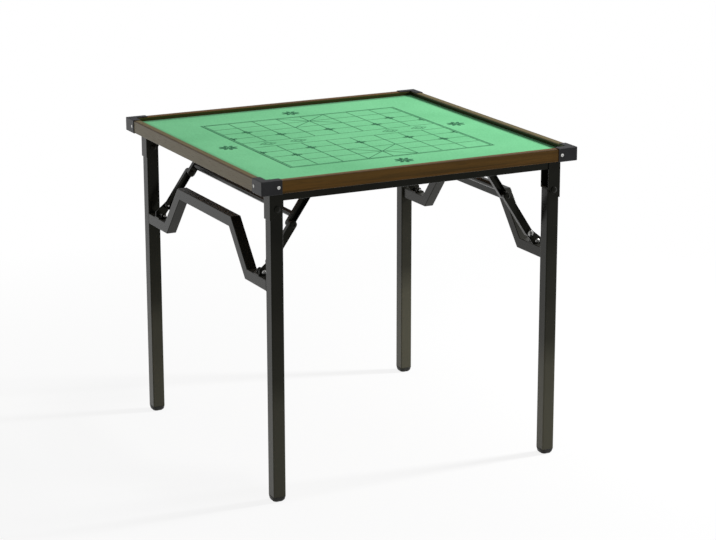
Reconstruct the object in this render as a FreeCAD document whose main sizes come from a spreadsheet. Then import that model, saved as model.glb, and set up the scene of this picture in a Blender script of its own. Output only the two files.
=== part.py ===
import FreeCAD, Part
import Sketcher
import math
import os

# A square folding game table: a baize-covered board in a raised wooden rim, two folding leg frames of
# square tube, and on each frame a pair of knee braces joined by a pull bar.
# Frame: origin on the floor under the centre of the top, X along the front edge, Y to the back, Z up.
# All lengths are in millimetres and all angles in degrees.

Vector = FreeCAD.Vector
doc = FreeCAD.newDocument("folding_game_table")

# ---------------------------------------------------------------------------------------------------
# Driving dimensions

SIZES = {
    # whole table
    "table_width": 800,
    "table_depth": 800,
    "table_height": 750,
    # rim, board and baize
    "strip_width": 18,
    "strip_height": 29.5,
    "strip_round": 2.5,
    "strip_lip_round": 1.2,
    "rim_rise": 9,
    "board_thickness": 15,
    "baize_thickness": 2,
    # moulded corner caps
    "cap_wall": 1.5,
    "cap_side": 50,
    "cap_return": 8,
    "cap_round": 2,
    "cap_screw_setback": 41,
    # wood screws
    "screw_radius": 2,
    "screw_head_radius": 3.8,
    "screw_head_height": 1.7,
    "screw_bite": 10,
    "screw_hole_play": 0.05,
    # rails under the board
    "rail_height": 25,
    "rail_wall": 1.2,
    "rail_round": 1.5,
    "rail_screw_pitch": 260,
    # pivot brackets
    "bracket_wall": 2,
    "bracket_round": 2.5,
    "bracket_play": 0.3,
    "lug_radius": 11,
    "web_drop_left": 25,
    "web_drop_right": 19.5,
    "ear_rise": 2,
    # legs
    "leg_size": 30,
    "leg_corner": 2.5,
    "tube_wall": 1.2,
    "leg_inset_x": 47.5,
    "leg_inset_y": 40,
    "fold_gap": 2.5,
    "layer_gap": 1.5,
    "pivot_radius": 4,
    "pivot_head_radius": 7.5,
    "pivot_head_height": 4,
    "running_play": 0.05,
    # feet
    "foot_height": 12,
    "foot_clearance": 0.5,
    "foot_corner": 8,
    "foot_bevel": 5,
    "plug_length": 18,
    "plug_play": 0.1,
    # crossbars
    "bar_size": 25,
    "bar_round": 1.5,
    "bar_drop_left": 221,
    "bar_drop_right": 232,
    "hat_rise": 103,
    "valley_inset": 123,
    "hat_run": 86,
    # brace channels
    "brace_inset": 70,
    "brace_gap": 0.6,
    "channel_depth": 12.2,
    "channel_width": 18,
    "channel_web": 2,
    "channel_flange": 1.5,
    "arm_pivot_inset": 132.5,
    "arm_pivot_drop": 17.5,
    "link_pivot_inset": 18,
    "link_pivot_rise": 39.5,
    # pull bars
    "pull_radius": 7,
    "pull_wall": 1.2,
    "pull_above_knee": 20,
    # brackets of the braces
    "plate": 3,
    "plate_play": 0.5,
    "eye_radius": 9,
    "mount_half_length": 17,
    "mount_reach": 26,
    "mount_screw_half_pitch": 10,
    "mount_round": 4,
    "saddle_base": 2.5,
    "saddle_length": 25,
    "saddle_setback": 2,
    "clamp_bolt_inset": -1,
    "clamp_bolt_rise": 6.8,
    "clamp_eye_radius": 6.5,
    "clamp_head_radius": 6,
    # bolts of the braces
    "bolt_radius": 3,
    "bolt_head_radius": 7.5,
    "bolt_head_height": 4,
    "nut_across": 10,
    "nut_height": 5,
    "nut_play": 0.3,
    "knee_gap": 1,
}

# Places and levels that follow from the driving dimensions
LAYOUT = {
    "half_width": "Sizes.table_width / 2",
    "half_depth": "Sizes.table_depth / 2",
    "rim_x": "half_width - Sizes.cap_wall",
    "rim_y": "half_depth - Sizes.cap_wall",
    "board_x": "rim_x - Sizes.strip_width",
    "board_y": "rim_y - Sizes.strip_width",
    "strip_top": "Sizes.table_height - Sizes.cap_wall",
    "strip_bottom": "strip_top - Sizes.strip_height",
    "baize_top": "strip_top - Sizes.rim_rise",
    "board_top": "baize_top - Sizes.baize_thickness",
    "board_bottom": "board_top - Sizes.board_thickness",
    "rail_bottom": "board_bottom - Sizes.rail_height",
    "leg_half": "Sizes.leg_size / 2",
    "foot_half": "leg_half + Sizes.layer_gap - Sizes.foot_clearance",
    "leg_x": "half_width - Sizes.leg_inset_x",
    "leg_y": "half_depth - Sizes.leg_inset_y",
    "slot_half": "leg_half + Sizes.bracket_play",
    "bracket_half": "slot_half + Sizes.bracket_wall",
    "pivot_left": "rail_bottom - Sizes.fold_gap - leg_half",
    "pivot_right": "pivot_left - Sizes.leg_size - Sizes.layer_gap",
    "arm_pivot": "board_bottom - Sizes.arm_pivot_drop",
    "brace_run": "Sizes.arm_pivot_inset - Sizes.link_pivot_inset",
    "channel_half": "Sizes.channel_width / 2",
    "brace_line": "leg_y - Sizes.brace_inset",
    "arm_inner": "brace_line - Sizes.brace_gap / 2 - Sizes.channel_depth",
    "link_inner": "brace_line + Sizes.brace_gap / 2",
    "link_outer": "link_inner + Sizes.channel_depth",
    "mount_outer": "arm_inner - Sizes.plate_play",
    "mount_inner": "mount_outer - Sizes.plate",
    "mount_screw_y": "mount_inner - (Sizes.mount_reach - Sizes.plate) / 2",
    "saddle_ear": "link_outer + Sizes.plate_play",
    "saddle_outer": "saddle_ear + Sizes.plate",
    "saddle_inner": "saddle_outer - Sizes.saddle_length",
    "eye_climb": "Sizes.link_pivot_rise - Sizes.bar_size / 2",
    "eye_lean": "atan2(eye_climb; Sizes.link_pivot_inset) / 1 deg",
    "valley_half": "leg_y - Sizes.valley_inset",
    "peak_half": "valley_half - Sizes.hat_run",
    "hat_bend": "atan2(Sizes.hat_rise; Sizes.hat_run) / 1 deg",
    "screw_hole": "Sizes.screw_radius + Sizes.screw_hole_play",
    "bolt_hole": "Sizes.bolt_radius + Sizes.running_play",
    "pivot_hole": "Sizes.pivot_radius + Sizes.running_play",
    "knee_shank": "Sizes.channel_depth - Sizes.knee_gap",
}

# The braces of one leg frame, worked out in the plane in which they fold: "inset" is measured inward from the
# leg's centre line. Unfolded, arm and link lie in one line. Folded, the arm lies level under the board and
# the link's pivot has moved with the leg, so the two lengths follow from the two pivots.
BRACE = {
    "bar_level_SIDE": "board_bottom - Sizes.bar_drop_SIDE",
    "link_pivot_SIDE": "bar_level_SIDE + Sizes.link_pivot_rise",
    "climb_SIDE": "arm_pivot - link_pivot_SIDE",
    "brace_SIDE": "sqrt(pow(brace_run; 2) + pow(climb_SIDE; 2))",
    "folded_run_SIDE": "Sizes.arm_pivot_inset - pivot_SIDE + link_pivot_SIDE",
    "folded_climb_SIDE": "arm_pivot - pivot_SIDE - Sizes.link_pivot_inset",
    "arm_SIDE": "(pow(brace_SIDE; 2) - pow(folded_run_SIDE; 2) - pow(folded_climb_SIDE; 2))"
                " / (2 * (brace_SIDE + folded_run_SIDE))",
    "link_SIDE": "brace_SIDE - arm_SIDE",
    "slope_SIDE": "atan2(climb_SIDE; brace_run) / 1 deg",
    "knee_inset_SIDE": "Sizes.arm_pivot_inset - brace_run * arm_SIDE / brace_SIDE",
    "knee_level_SIDE": "arm_pivot - climb_SIDE * arm_SIDE / brace_SIDE",
    "pull_inset_SIDE": "knee_inset_SIDE + brace_run * Sizes.pull_above_knee / brace_SIDE",
    "pull_level_SIDE": "knee_level_SIDE + climb_SIDE * Sizes.pull_above_knee / brace_SIDE",
}

SIDES = {"left": -1, "right": 1}
ENDS = {"front": -1, "back": 1}

# Screws of a rail, counted in pitches from its middle
RAIL_SCREW_STEPS = (-1, 0, 1)

# How far the outline of a cut reaches past the surface that it opens
OVERCUT = 1


def write_sheet(name, cells):
    """Spreadsheet with one row per value: its name in column A and its content in column B."""
    sheet = doc.addObject("Spreadsheet::Sheet", name)
    for row, (alias, content) in enumerate(cells.items(), 1):
        sheet.set(f"A{row}", alias)
        sheet.set(f"B{row}", str(content))
        sheet.setAlias(f"B{row}", alias)
    return sheet


def layout_cells():
    cells = {alias: "=" + formula for alias, formula in LAYOUT.items()}
    for side in SIDES:
        for alias, formula in BRACE.items():
            cells[alias.replace("SIDE", side)] = "=" + formula.replace("SIDE", side)
    return cells


write_sheet("Sizes", SIZES)
layout = write_sheet("Layout", layout_cells())
doc.recompute()


# ---------------------------------------------------------------------------------------------------
# Sketches and features

def number(expression):
    """Present value of an expression on the two sheets."""
    result = layout.evalExpression(str(expression))
    return float(getattr(result, "Value", result))


def new_body(name):
    body = doc.addObject("PartDesign::Body", name)
    body.Label = name
    return body


def new_sketch(body, name, role, offset="0"):
    """Sketch on one of the body's origin planes, moved along that plane's normal."""
    sketch = body.newObject("Sketcher::SketchObject", f"{body.Name}_{name}")
    plane = next(feature for feature in body.Origin.OriginFeatures if feature.Role == role)
    sketch.AttachmentSupport = [(plane, "")]
    sketch.MapMode = "FlatFace"
    sketch.setExpression(".AttachmentOffset.Base.z", offset)
    return sketch


def new_layer(body, name, end, inner, thickness):
    """Sketch in the X-Z plane whose pad of this thickness starts at the distance inner from the X axis."""
    offset = inner if end == "front" else f"-({inner} + {thickness})"
    return new_sketch(body, name, "XZ_Plane", offset)


def bind(sketch, constraint, expression):
    index = sketch.addConstraint(constraint)
    sketch.setExpression(f"Constraints[{index}]", expression)


def fix_point(sketch, geometry, position, x, y):
    """Tie a point of the sketch to the sketch's origin by its two coordinates."""
    for kind, expression in (("DistanceX", x), ("DistanceY", y)):
        bind(sketch, Sketcher.Constraint(kind, -1, 1, geometry, position, number(expression)), expression)


def draw_outline(sketch, corners):
    """Closed outline of straight lines through corners given as pairs of expressions."""
    points = [Vector(number(x), number(y), 0) for x, y in corners]
    count = len(points)
    for index, point in enumerate(points):
        sketch.addGeometry(Part.LineSegment(point, points[(index + 1) % count]), False)
    for index, (x, y) in enumerate(corners):
        sketch.addConstraint(Sketcher.Constraint("Coincident", index, 2, (index + 1) % count, 1))
        fix_point(sketch, index, 1, x, y)


def draw_rectangle(sketch, x_low, x_high, y_low, y_high):
    draw_outline(sketch, [(x_low, y_low), (x_high, y_low), (x_high, y_high), (x_low, y_high)])


def draw_circle(sketch, x, y, radius):
    centre = Vector(number(x), number(y), 0)
    index = sketch.addGeometry(Part.Circle(centre, Vector(0, 0, 1), number(radius)), False)
    bind(sketch, Sketcher.Constraint("Radius", index, number(radius)), radius)
    fix_point(sketch, index, 3, x, y)


def draw_slot(sketch, length, radius):
    """Round-ended outline about the line from the origin to (length, 0)."""
    reach, bend = number(length), number(radius)
    up = Vector(0, 0, 1)
    near = Part.ArcOfCircle(Part.Circle(Vector(0, 0, 0), up, bend), math.pi / 2, 3 * math.pi / 2)
    far = Part.ArcOfCircle(Part.Circle(Vector(reach, 0, 0), up, bend), -math.pi / 2, math.pi / 2)
    sketch.addGeometry(near, False)
    sketch.addGeometry(far, False)
    for side in (1, -1):
        line = Part.LineSegment(Vector(0, side * bend, 0), Vector(reach, side * bend, 0))
        sketch.addGeometry(line, False)
    for arc, arc_end, line, line_end in ((0, 1, 2, 1), (0, 2, 3, 1), (1, 2, 2, 2), (1, 1, 3, 2)):
        sketch.addConstraint(Sketcher.Constraint("Tangent", arc, arc_end, line, line_end))
    fix_point(sketch, 0, 3, "0", "0")
    fix_point(sketch, 1, 3, length, "0")
    bind(sketch, Sketcher.Constraint("Radius", 0, bend), radius)


def draw_arch_cut(sketch, level, radius):
    """Outline around a half-round arch: cutting it leaves the arch standing on its level."""
    outside = f"({radius} + {OVERCUT})"
    corners = [
        (radius, level),
        (outside, level),
        (outside, f"{level} + {outside}"),
        (f"-{outside}", f"{level} + {outside}"),
        (f"-{outside}", level),
        (f"-{radius}", level),
    ]
    points = [Vector(number(x), number(y), 0) for x, y in corners]
    for start, stop in zip(points, points[1:]):
        sketch.addGeometry(Part.LineSegment(start, stop), False)
    circle = Part.Circle(Vector(0, number(level), 0), Vector(0, 0, 1), number(radius))
    arch = sketch.addGeometry(Part.ArcOfCircle(circle, 0, math.pi), False)
    for index, (x, y) in enumerate(corners[:-1]):
        fix_point(sketch, index, 1, x, y)
    for index in range(arch - 1):
        sketch.addConstraint(Sketcher.Constraint("Coincident", index, 2, index + 1, 1))
    fix_point(sketch, arch - 1, 2, *corners[-1])
    sketch.addConstraint(Sketcher.Constraint("Coincident", 0, 1, arch, 1))
    sketch.addConstraint(Sketcher.Constraint("Coincident", arch - 1, 2, arch, 2))
    bind(sketch, Sketcher.Constraint("DistanceY", -1, 1, arch, 3, number(level)), level)


def add_pad(body, sketch, length, both_ways=False):
    pad = body.newObject("PartDesign::Pad", sketch.Name + "_pad")
    pad.Profile = sketch
    if both_ways:
        pad.SideType = "Symmetric"
    pad.setExpression("Length", length)
    doc.recompute()


def add_pocket(body, sketch, length=None, along_normal=True):
    """Cut to a depth, or right through both ways when no depth is given."""
    volume = body.Shape.Volume
    pocket = body.newObject("PartDesign::Pocket", sketch.Name + "_pocket")
    pocket.Profile = sketch
    if length is None:
        pocket.SideType = "Symmetric"
        pocket.Type = "ThroughAll"
    else:
        pocket.Reversed = along_normal
        pocket.setExpression("Length", length)
    doc.recompute()
    if body.Shape.Volume > volume - 1e-3:
        raise RuntimeError(f"{pocket.Name} cuts nothing")


def dress_edges(body, feature_type, size_name, size, chosen):
    """Fillet or chamfer on the edges of the body's present shape that chosen(edge) accepts."""
    base = body.Tip
    names = [f"Edge{index}" for index, edge in enumerate(base.Shape.Edges, 1) if chosen(edge)]
    feature = body.newObject(feature_type, f"{body.Name}_edges_{len(body.Group)}")
    feature.Base = (base, names)
    feature.setExpression(size_name, size)
    doc.recompute()


def round_edges(body, radius, chosen):
    dress_edges(body, "PartDesign::Fillet", "Radius", radius, chosen)


def bevel_edges(body, size, chosen):
    dress_edges(body, "PartDesign::Chamfer", "Size", size, chosen)


def is_parallel(edge, x, y, z):
    if not isinstance(edge.Curve, Part.Line):
        return False
    return abs(abs(edge.tangentAt(edge.FirstParameter).dot(Vector(x, y, z))) - 1) < 1e-6


def same(first, second):
    return abs(first - second) < 1e-6


def place(part, x="0", y="0", z="0", turn=None, axis=(0, 0, 1)):
    """Bind a sub-part's place, and its turn about an axis where it has one, to expressions."""
    if turn is not None:
        part.Placement = FreeCAD.Placement(Vector(0, 0, 0), FreeCAD.Rotation(Vector(*axis), 1))
        part.setExpression(".Placement.Rotation.Angle", turn)
    for coordinate, expression in (("x", x), ("y", y), ("z", z)):
        part.setExpression(f".Placement.Base.{coordinate}", expression)


def inward(side, distance):
    """X of a point at a distance inward from the centre line of that side's legs."""
    return f"{SIDES[side]} * (Layout.leg_x - ({distance}))"


# ---------------------------------------------------------------------------------------------------
# Table top

def build_sheet_part(name, level, thickness):
    """Flat panel that fills the space inside the rim."""
    body = new_body(name)
    sketch = new_sketch(body, "outline", "XY_Plane")
    draw_rectangle(sketch, "-Layout.board_x", "Layout.board_x", "-Layout.board_y", "Layout.board_y")
    add_pad(body, sketch, thickness)
    place(body, z=level)
    return body


def rail_screw_places():
    return [(f"{step} * Sizes.rail_screw_pitch", f"{end} * Layout.leg_y")
            for end in ENDS.values() for step in RAIL_SCREW_STEPS]


def mount_screw_places():
    pivot = {side: inward(side, "Sizes.arm_pivot_inset") for side in SIDES}
    return [(f"{pivot[side]} + {step} * Sizes.mount_screw_half_pitch", f"{end} * Layout.mount_screw_y")
            for side in SIDES for end in ENDS.values() for step in (-1, 1)]


def build_board():
    body = build_sheet_part("table_board", "Layout.board_bottom", "Sizes.board_thickness")
    pilots = new_sketch(body, "pilots", "XY_Plane")
    for x, y in rail_screw_places() + mount_screw_places():
        draw_circle(pilots, x, y, "Layout.screw_hole")
    add_pocket(body, pilots, "Sizes.screw_bite")
    return body


def build_strip(name, half_length, half_across, turn):
    """Mitred rim strip, drawn along X with its outer face at -Y."""
    body = new_body(name)
    plan = new_sketch(body, "plan", "XY_Plane")
    inner_length = f"({half_length} - Sizes.strip_width)"
    inner_across = f"-({half_across} - Sizes.strip_width)"
    draw_outline(plan, [
        (f"-{half_length}", f"-{half_across}"),
        (half_length, f"-{half_across}"),
        (inner_length, inner_across),
        (f"-{inner_length}", inner_across),
    ])
    add_pad(body, plan, "Sizes.strip_height")
    top = number("Sizes.strip_height")
    round_edges(body, "Sizes.strip_round",
                lambda edge: is_parallel(edge, 1, 0, 0) and same(edge.CenterOfMass.z, top))
    round_edges(body, "Sizes.strip_lip_round",
                lambda edge: is_parallel(edge, 1, 0, 0) and same(edge.CenterOfMass.z, 0))
    pilots = new_sketch(body, "pilots", "XZ_Plane", half_across)
    setback = f"({half_length} + Sizes.cap_wall - Sizes.cap_screw_setback)"
    for sign in (-1, 1):
        draw_circle(pilots, f"{sign} * {setback}", "Sizes.strip_height / 2", "Layout.screw_hole")
    add_pocket(body, pilots, "Sizes.screw_bite", along_normal=False)
    place(body, z="Layout.strip_bottom", turn=turn)
    return body


def draw_cap_plan(sketch, x_sign, y_sign, wall, side, across):
    """L-shaped outline in the corner: wall is its distance in from the outside, side the end of its arms."""
    def corner(x, y):
        return f"{x_sign} * (Layout.half_width - {x})", f"{y_sign} * (Layout.half_depth - {y})"

    draw_outline(sketch, [corner(wall, wall), corner(side, wall), corner(side, across),
                          corner(across, across), corner(across, side), corner(wall, side)])


def build_cap(name, x_sign, y_sign):
    """Moulded cap of C section around a corner of the rim, open towards the board."""
    body = new_body(name)
    wall = "Sizes.cap_wall"
    across = f"(Sizes.strip_width + {wall})"
    plan = new_sketch(body, "plan", "XY_Plane", f"-{wall}")
    draw_cap_plan(plan, x_sign, y_sign, "0", "Sizes.cap_side", across)
    height = f"Sizes.strip_height + 2 * {wall}"
    add_pad(body, plan, height)
    outer_x, outer_y = x_sign * number("Layout.half_width"), y_sign * number("Layout.half_depth")
    levels = (-number(wall), number(height) - number(wall))

    def is_outer(edge):
        middle = edge.CenterOfMass
        on_sides = [same(middle.x, outer_x), same(middle.y, outer_y)]
        if is_parallel(edge, 0, 0, 1):
            return all(on_sides)
        return any(on_sides) and any(same(middle.z, level) for level in levels)

    round_edges(body, "Sizes.cap_round", is_outer)
    past_side, past_across = f"(Sizes.cap_side + {OVERCUT})", f"({across} + {OVERCUT})"
    hollow = new_sketch(body, "hollow", "XY_Plane")
    draw_cap_plan(hollow, x_sign, y_sign, wall, past_side, past_across)
    add_pocket(body, hollow, "Sizes.strip_height")
    under = new_sketch(body, "under", "XY_Plane", f"-{wall}")
    draw_cap_plan(under, x_sign, y_sign, "Sizes.cap_return", past_side, past_across)
    add_pocket(body, under, wall)
    for role, sign, half in (("XZ_Plane", x_sign, "half_width"), ("YZ_Plane", y_sign, "half_depth")):
        hole = new_sketch(body, "hole_" + role[:2].lower(), role)
        draw_circle(hole, f"{sign} * (Layout.{half} - Sizes.cap_screw_setback)", "Sizes.strip_height / 2",
                    "Layout.screw_hole")
        add_pocket(body, hole)
    place(body, z="Layout.strip_bottom")
    return body


def build_rail(name, y_sign):
    """Rectangular tube under the board, from pivot bracket to pivot bracket."""
    body = new_body(name)
    section = new_sketch(body, "section", "YZ_Plane")
    draw_rectangle(section, "-Layout.slot_half", "Layout.slot_half", "0", "Sizes.rail_height")
    add_pad(body, section, "2 * (Layout.leg_x + Layout.slot_half)", both_ways=True)
    round_edges(body, "Sizes.rail_round", lambda edge: is_parallel(edge, 1, 0, 0))
    bore = new_sketch(body, "bore", "YZ_Plane")
    half = "(Layout.slot_half - Sizes.rail_wall)"
    draw_rectangle(bore, f"-{half}", half, "Sizes.rail_wall", "Sizes.rail_height - Sizes.rail_wall")
    add_pocket(body, bore)
    holes = new_sketch(body, "holes", "XY_Plane")
    for step in RAIL_SCREW_STEPS:
        draw_circle(holes, f"{step} * Sizes.rail_screw_pitch", "0", "Layout.screw_hole")
    add_pocket(body, holes)
    place(body, y=f"{y_sign} * Layout.leg_y", z="Layout.rail_bottom")
    return body


def build_pivot_bracket(name, side, y_sign):
    """U-shaped bracket: the web outside the leg is its stop, and the two ears take the rail and the leg."""
    body = new_body(name)
    pivot = f"Layout.pivot_{side}"
    web_end = f"({pivot} - Sizes.web_drop_{side})"
    plan = new_sketch(body, "plan", "XY_Plane", web_end)
    draw_outline(plan, [
        ("-Layout.bracket_half", "-Layout.bracket_half"),
        ("Layout.leg_half", "-Layout.bracket_half"),
        ("Layout.leg_half", "-Layout.slot_half"),
        ("-Layout.slot_half", "-Layout.slot_half"),
        ("-Layout.slot_half", "Layout.slot_half"),
        ("Layout.leg_half", "Layout.slot_half"),
        ("Layout.leg_half", "Layout.bracket_half"),
        ("-Layout.bracket_half", "Layout.bracket_half"),
    ])
    add_pad(body, plan, f"Layout.board_bottom - {web_end}")
    outside = number("Layout.bracket_half")
    round_edges(body, "Sizes.bracket_round",
                lambda edge: is_parallel(edge, 0, 0, 1) and same(edge.CenterOfMass.x, -outside))
    # the ears' lower edges slant from the end of the web up to the inner edge
    slant = new_sketch(body, "slant", "XZ_Plane")
    draw_outline(slant, [
        ("-Layout.slot_half", web_end),
        (f"Layout.leg_half + {OVERCUT}", f"{web_end} - {OVERCUT}"),
        (f"Layout.leg_half + {OVERCUT}", f"{pivot} + Sizes.ear_rise"),
        ("Layout.leg_half", f"{pivot} + Sizes.ear_rise"),
    ])
    add_pocket(body, slant)
    for ear, offset in (("front", "Layout.slot_half"), ("back", "-Layout.bracket_half")):
        lug = new_sketch(body, "lug_" + ear, "XZ_Plane", offset)
        draw_circle(lug, "0", pivot, "Sizes.lug_radius")
        add_pad(body, lug, "Sizes.bracket_wall")
    hole = new_sketch(body, "hole", "XZ_Plane")
    draw_circle(hole, "0", pivot, "Layout.pivot_hole")
    add_pocket(body, hole)
    place(body, x=inward(side, "0"), y=f"{y_sign} * Layout.leg_y", turn="0" if side == "left" else "180")
    return body


def build_brace_mount(name, side, end):
    """L-shaped bracket screwed under the board; its ear carries the arm's pivot bolt."""
    body = new_body(name)
    flange = new_layer(body, "flange", end, "(Layout.mount_outer - Sizes.mount_reach)", "Sizes.mount_reach")
    draw_rectangle(flange, "-Sizes.mount_half_length", "Sizes.mount_half_length",
                   "Sizes.arm_pivot_drop - Sizes.plate", "Sizes.arm_pivot_drop")
    add_pad(body, flange, "Sizes.mount_reach")
    half_length = number("Sizes.mount_half_length")
    y_sign = ENDS[end]
    inner_edge = y_sign * number("Layout.mount_outer - Sizes.mount_reach")
    round_edges(body, "Sizes.mount_round",
                lambda edge: is_parallel(edge, 0, 0, 1) and same(edge.CenterOfMass.y, inner_edge)
                and same(abs(edge.CenterOfMass.x), half_length))
    ear = new_layer(body, "ear", end, "Layout.mount_inner", "Sizes.plate")
    draw_outline(ear, [
        ("-Sizes.mount_half_length", "Sizes.arm_pivot_drop"),
        ("-Sizes.mount_half_length", "Sizes.arm_pivot_drop - Sizes.plate"),
        ("-Sizes.eye_radius", "0"),
        ("Sizes.eye_radius", "0"),
        ("Sizes.mount_half_length", "Sizes.arm_pivot_drop - Sizes.plate"),
        ("Sizes.mount_half_length", "Sizes.arm_pivot_drop"),
    ])
    add_pad(body, ear, "Sizes.plate")
    eye = new_layer(body, "eye", end, "Layout.mount_inner", "Sizes.plate")
    draw_circle(eye, "0", "0", "Sizes.eye_radius")
    add_pad(body, eye, "Sizes.plate")
    hole = new_sketch(body, "hole", "XZ_Plane")
    draw_circle(hole, "0", "0", "Layout.bolt_hole")
    add_pocket(body, hole)
    screw_holes = new_sketch(body, "screw_holes", "XY_Plane")
    for step in (-1, 1):
        draw_circle(screw_holes, f"{step} * Sizes.mount_screw_half_pitch", f"{y_sign} * Layout.mount_screw_y",
                    "Layout.screw_hole")
    add_pocket(body, screw_holes)
    place(body, x=inward(side, "Sizes.arm_pivot_inset"), z="Layout.arm_pivot")
    return body


# ---------------------------------------------------------------------------------------------------
# Leg frames

def build_leg(name, side, y_sign):
    """Square tube whose top is rounded about the pivot, so that it turns inside its bracket."""
    body = new_body(name)
    half, bore_half = "Layout.leg_half", "(Layout.leg_half - Sizes.tube_wall)"
    pivot = f"(Layout.pivot_{side} - Sizes.foot_height)"
    section = new_sketch(body, "section", "XY_Plane")
    draw_rectangle(section, f"-{half}", half, f"-{half}", half)
    add_pad(body, section, f"{pivot} + {half}")
    round_edges(body, "Sizes.leg_corner", lambda edge: is_parallel(edge, 0, 0, 1))
    bore = new_sketch(body, "bore", "XY_Plane")
    draw_rectangle(bore, f"-{bore_half}", bore_half, f"-{bore_half}", bore_half)
    add_pocket(body, bore)
    crown = new_sketch(body, "crown", "XZ_Plane")
    draw_arch_cut(crown, pivot, half)
    add_pocket(body, crown)
    hole = new_sketch(body, "hole", "XZ_Plane")
    draw_circle(hole, "0", pivot, "Layout.pivot_hole")
    add_pocket(body, hole)
    place(body, x=inward(side, "0"), y=f"{y_sign} * Layout.leg_y", z="Sizes.foot_height")
    return body


def build_foot(name, side, y_sign):
    """Plastic foot with wide round corners and a bevelled tread, and a plug that fills the end of the leg.
    It stands out past the leg, but by less than the gap between the two folded leg frames.
    """
    body = new_body(name)
    tread = new_sketch(body, "tread", "XY_Plane")
    draw_rectangle(tread, "-Layout.foot_half", "Layout.foot_half", "-Layout.foot_half", "Layout.foot_half")
    add_pad(body, tread, "Sizes.foot_height")
    round_edges(body, "Sizes.foot_corner", lambda edge: is_parallel(edge, 0, 0, 1))
    bevel_edges(body, "Sizes.foot_bevel", lambda edge: same(edge.BoundBox.ZMax, 0))
    plug = new_sketch(body, "plug", "XY_Plane", "Sizes.foot_height")
    half = "(Layout.leg_half - Sizes.tube_wall - Sizes.plug_play)"
    draw_rectangle(plug, f"-{half}", half, f"-{half}", half)
    add_pad(body, plug, "Sizes.plug_length")
    place(body, x=inward(side, "0"), y=f"{y_sign} * Layout.leg_y")
    return body


def hat_outline(half):
    """Band of the given half width along the crossbar's hat-shaped centre line, mitred at its four bends."""
    shift = f"{half} * tan(Layout.hat_bend / 2)"
    corners = []
    for x_end, x_valley, x_peak, level in (
        ("Layout.leg_y - Layout.leg_half", f"Layout.valley_half - {shift}", f"Layout.peak_half - {shift}",
         f"-{half}"),
        ("Layout.leg_y - Layout.leg_half", f"Layout.valley_half + {shift}", f"Layout.peak_half + {shift}",
         half),
    ):
        run = [(x_end, level), (x_valley, level), (x_peak, f"Sizes.hat_rise + {level}")]
        whole = run + [(f"-({x})", y) for x, y in reversed(run)]
        corners += whole if not corners else list(reversed(whole))
    return corners


def build_crossbar(name, side):
    """Hat-shaped square tube between the two legs of a frame, in line with the legs' outer faces."""
    body = new_body(name)
    band = new_sketch(body, "band", "YZ_Plane", "-Layout.leg_half")
    draw_outline(band, hat_outline("(Sizes.bar_size / 2)"))
    add_pad(body, band, "Sizes.bar_size")
    ends = number("Layout.leg_y - Layout.leg_half")
    round_edges(body, "Sizes.bar_round",
                lambda edge: not is_parallel(edge, 1, 0, 0) and not same(abs(edge.CenterOfMass.y), ends))
    bore = new_sketch(body, "bore", "YZ_Plane", "-Layout.leg_half + Sizes.tube_wall")
    draw_outline(bore, hat_outline("(Sizes.bar_size / 2 - Sizes.tube_wall)"))
    add_pocket(body, bore, "Sizes.bar_size - 2 * Sizes.tube_wall")
    place(body, x=inward(side, "0"), z=f"Layout.bar_level_{side}", turn="0" if side == "left" else "180")
    return body


def build_saddle(name, side, end):
    """Bracket welded on the crossbar; its tall ear carries the link's pivot bolt."""
    body = new_body(name)
    toward = -SIDES[side]

    def at(inset):
        return f"{toward} * ({inset})"

    outer, inner = at("-Layout.leg_half"), at("Sizes.bar_size - Layout.leg_half")
    base = new_layer(body, "base", end, "Layout.saddle_inner", "Sizes.saddle_length")
    draw_rectangle(base, outer, inner, "0", "Sizes.saddle_base")
    add_pad(body, base, "Sizes.saddle_length")
    ear = new_layer(body, "ear", end, "Layout.saddle_ear", "Sizes.plate")
    across, along = "Sizes.eye_radius * sin(Layout.eye_lean)", "Sizes.eye_radius * cos(Layout.eye_lean)"
    draw_outline(ear, [
        (at("Sizes.saddle_setback - Layout.leg_half"), "0"),
        (inner, "0"),
        (at(f"Sizes.link_pivot_inset + {across}"), f"Layout.eye_climb - {along}"),
        (at(f"Sizes.link_pivot_inset - {across}"), f"Layout.eye_climb + {along}"),
        (at("Sizes.saddle_setback - Layout.leg_half"), "Sizes.clamp_bolt_rise + Sizes.clamp_eye_radius"),
    ])
    add_pad(body, ear, "Sizes.plate")
    eye = new_layer(body, "eye", end, "Layout.saddle_ear", "Sizes.plate")
    draw_circle(eye, at("Sizes.link_pivot_inset"), "Layout.eye_climb", "Sizes.eye_radius")
    add_pad(body, eye, "Sizes.plate")
    short = new_layer(body, "short", end, "Layout.saddle_inner", "Sizes.saddle_base")
    draw_rectangle(short, at("Sizes.clamp_bolt_inset - Sizes.clamp_eye_radius"),
                   at("Sizes.clamp_bolt_inset + Sizes.clamp_eye_radius"), "0", "Sizes.clamp_bolt_rise")
    add_pad(body, short, "Sizes.saddle_base")
    short_eye = new_layer(body, "short_eye", end, "Layout.saddle_inner", "Sizes.saddle_base")
    draw_circle(short_eye, at("Sizes.clamp_bolt_inset"), "Sizes.clamp_bolt_rise", "Sizes.clamp_eye_radius")
    add_pad(body, short_eye, "Sizes.saddle_base")
    for hole_name, inset, level in (("pivot_hole", "Sizes.link_pivot_inset", "Layout.eye_climb"),
                                    ("clamp_hole", "Sizes.clamp_bolt_inset", "Sizes.clamp_bolt_rise")):
        hole = new_sketch(body, hole_name, "XZ_Plane")
        draw_circle(hole, at(inset), level, "Layout.bolt_hole")
        add_pocket(body, hole)
    place(body, x=inward(side, "0"), z=f"Layout.bar_level_{side} + Sizes.bar_size / 2")
    return body


# ---------------------------------------------------------------------------------------------------
# Braces

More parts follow.
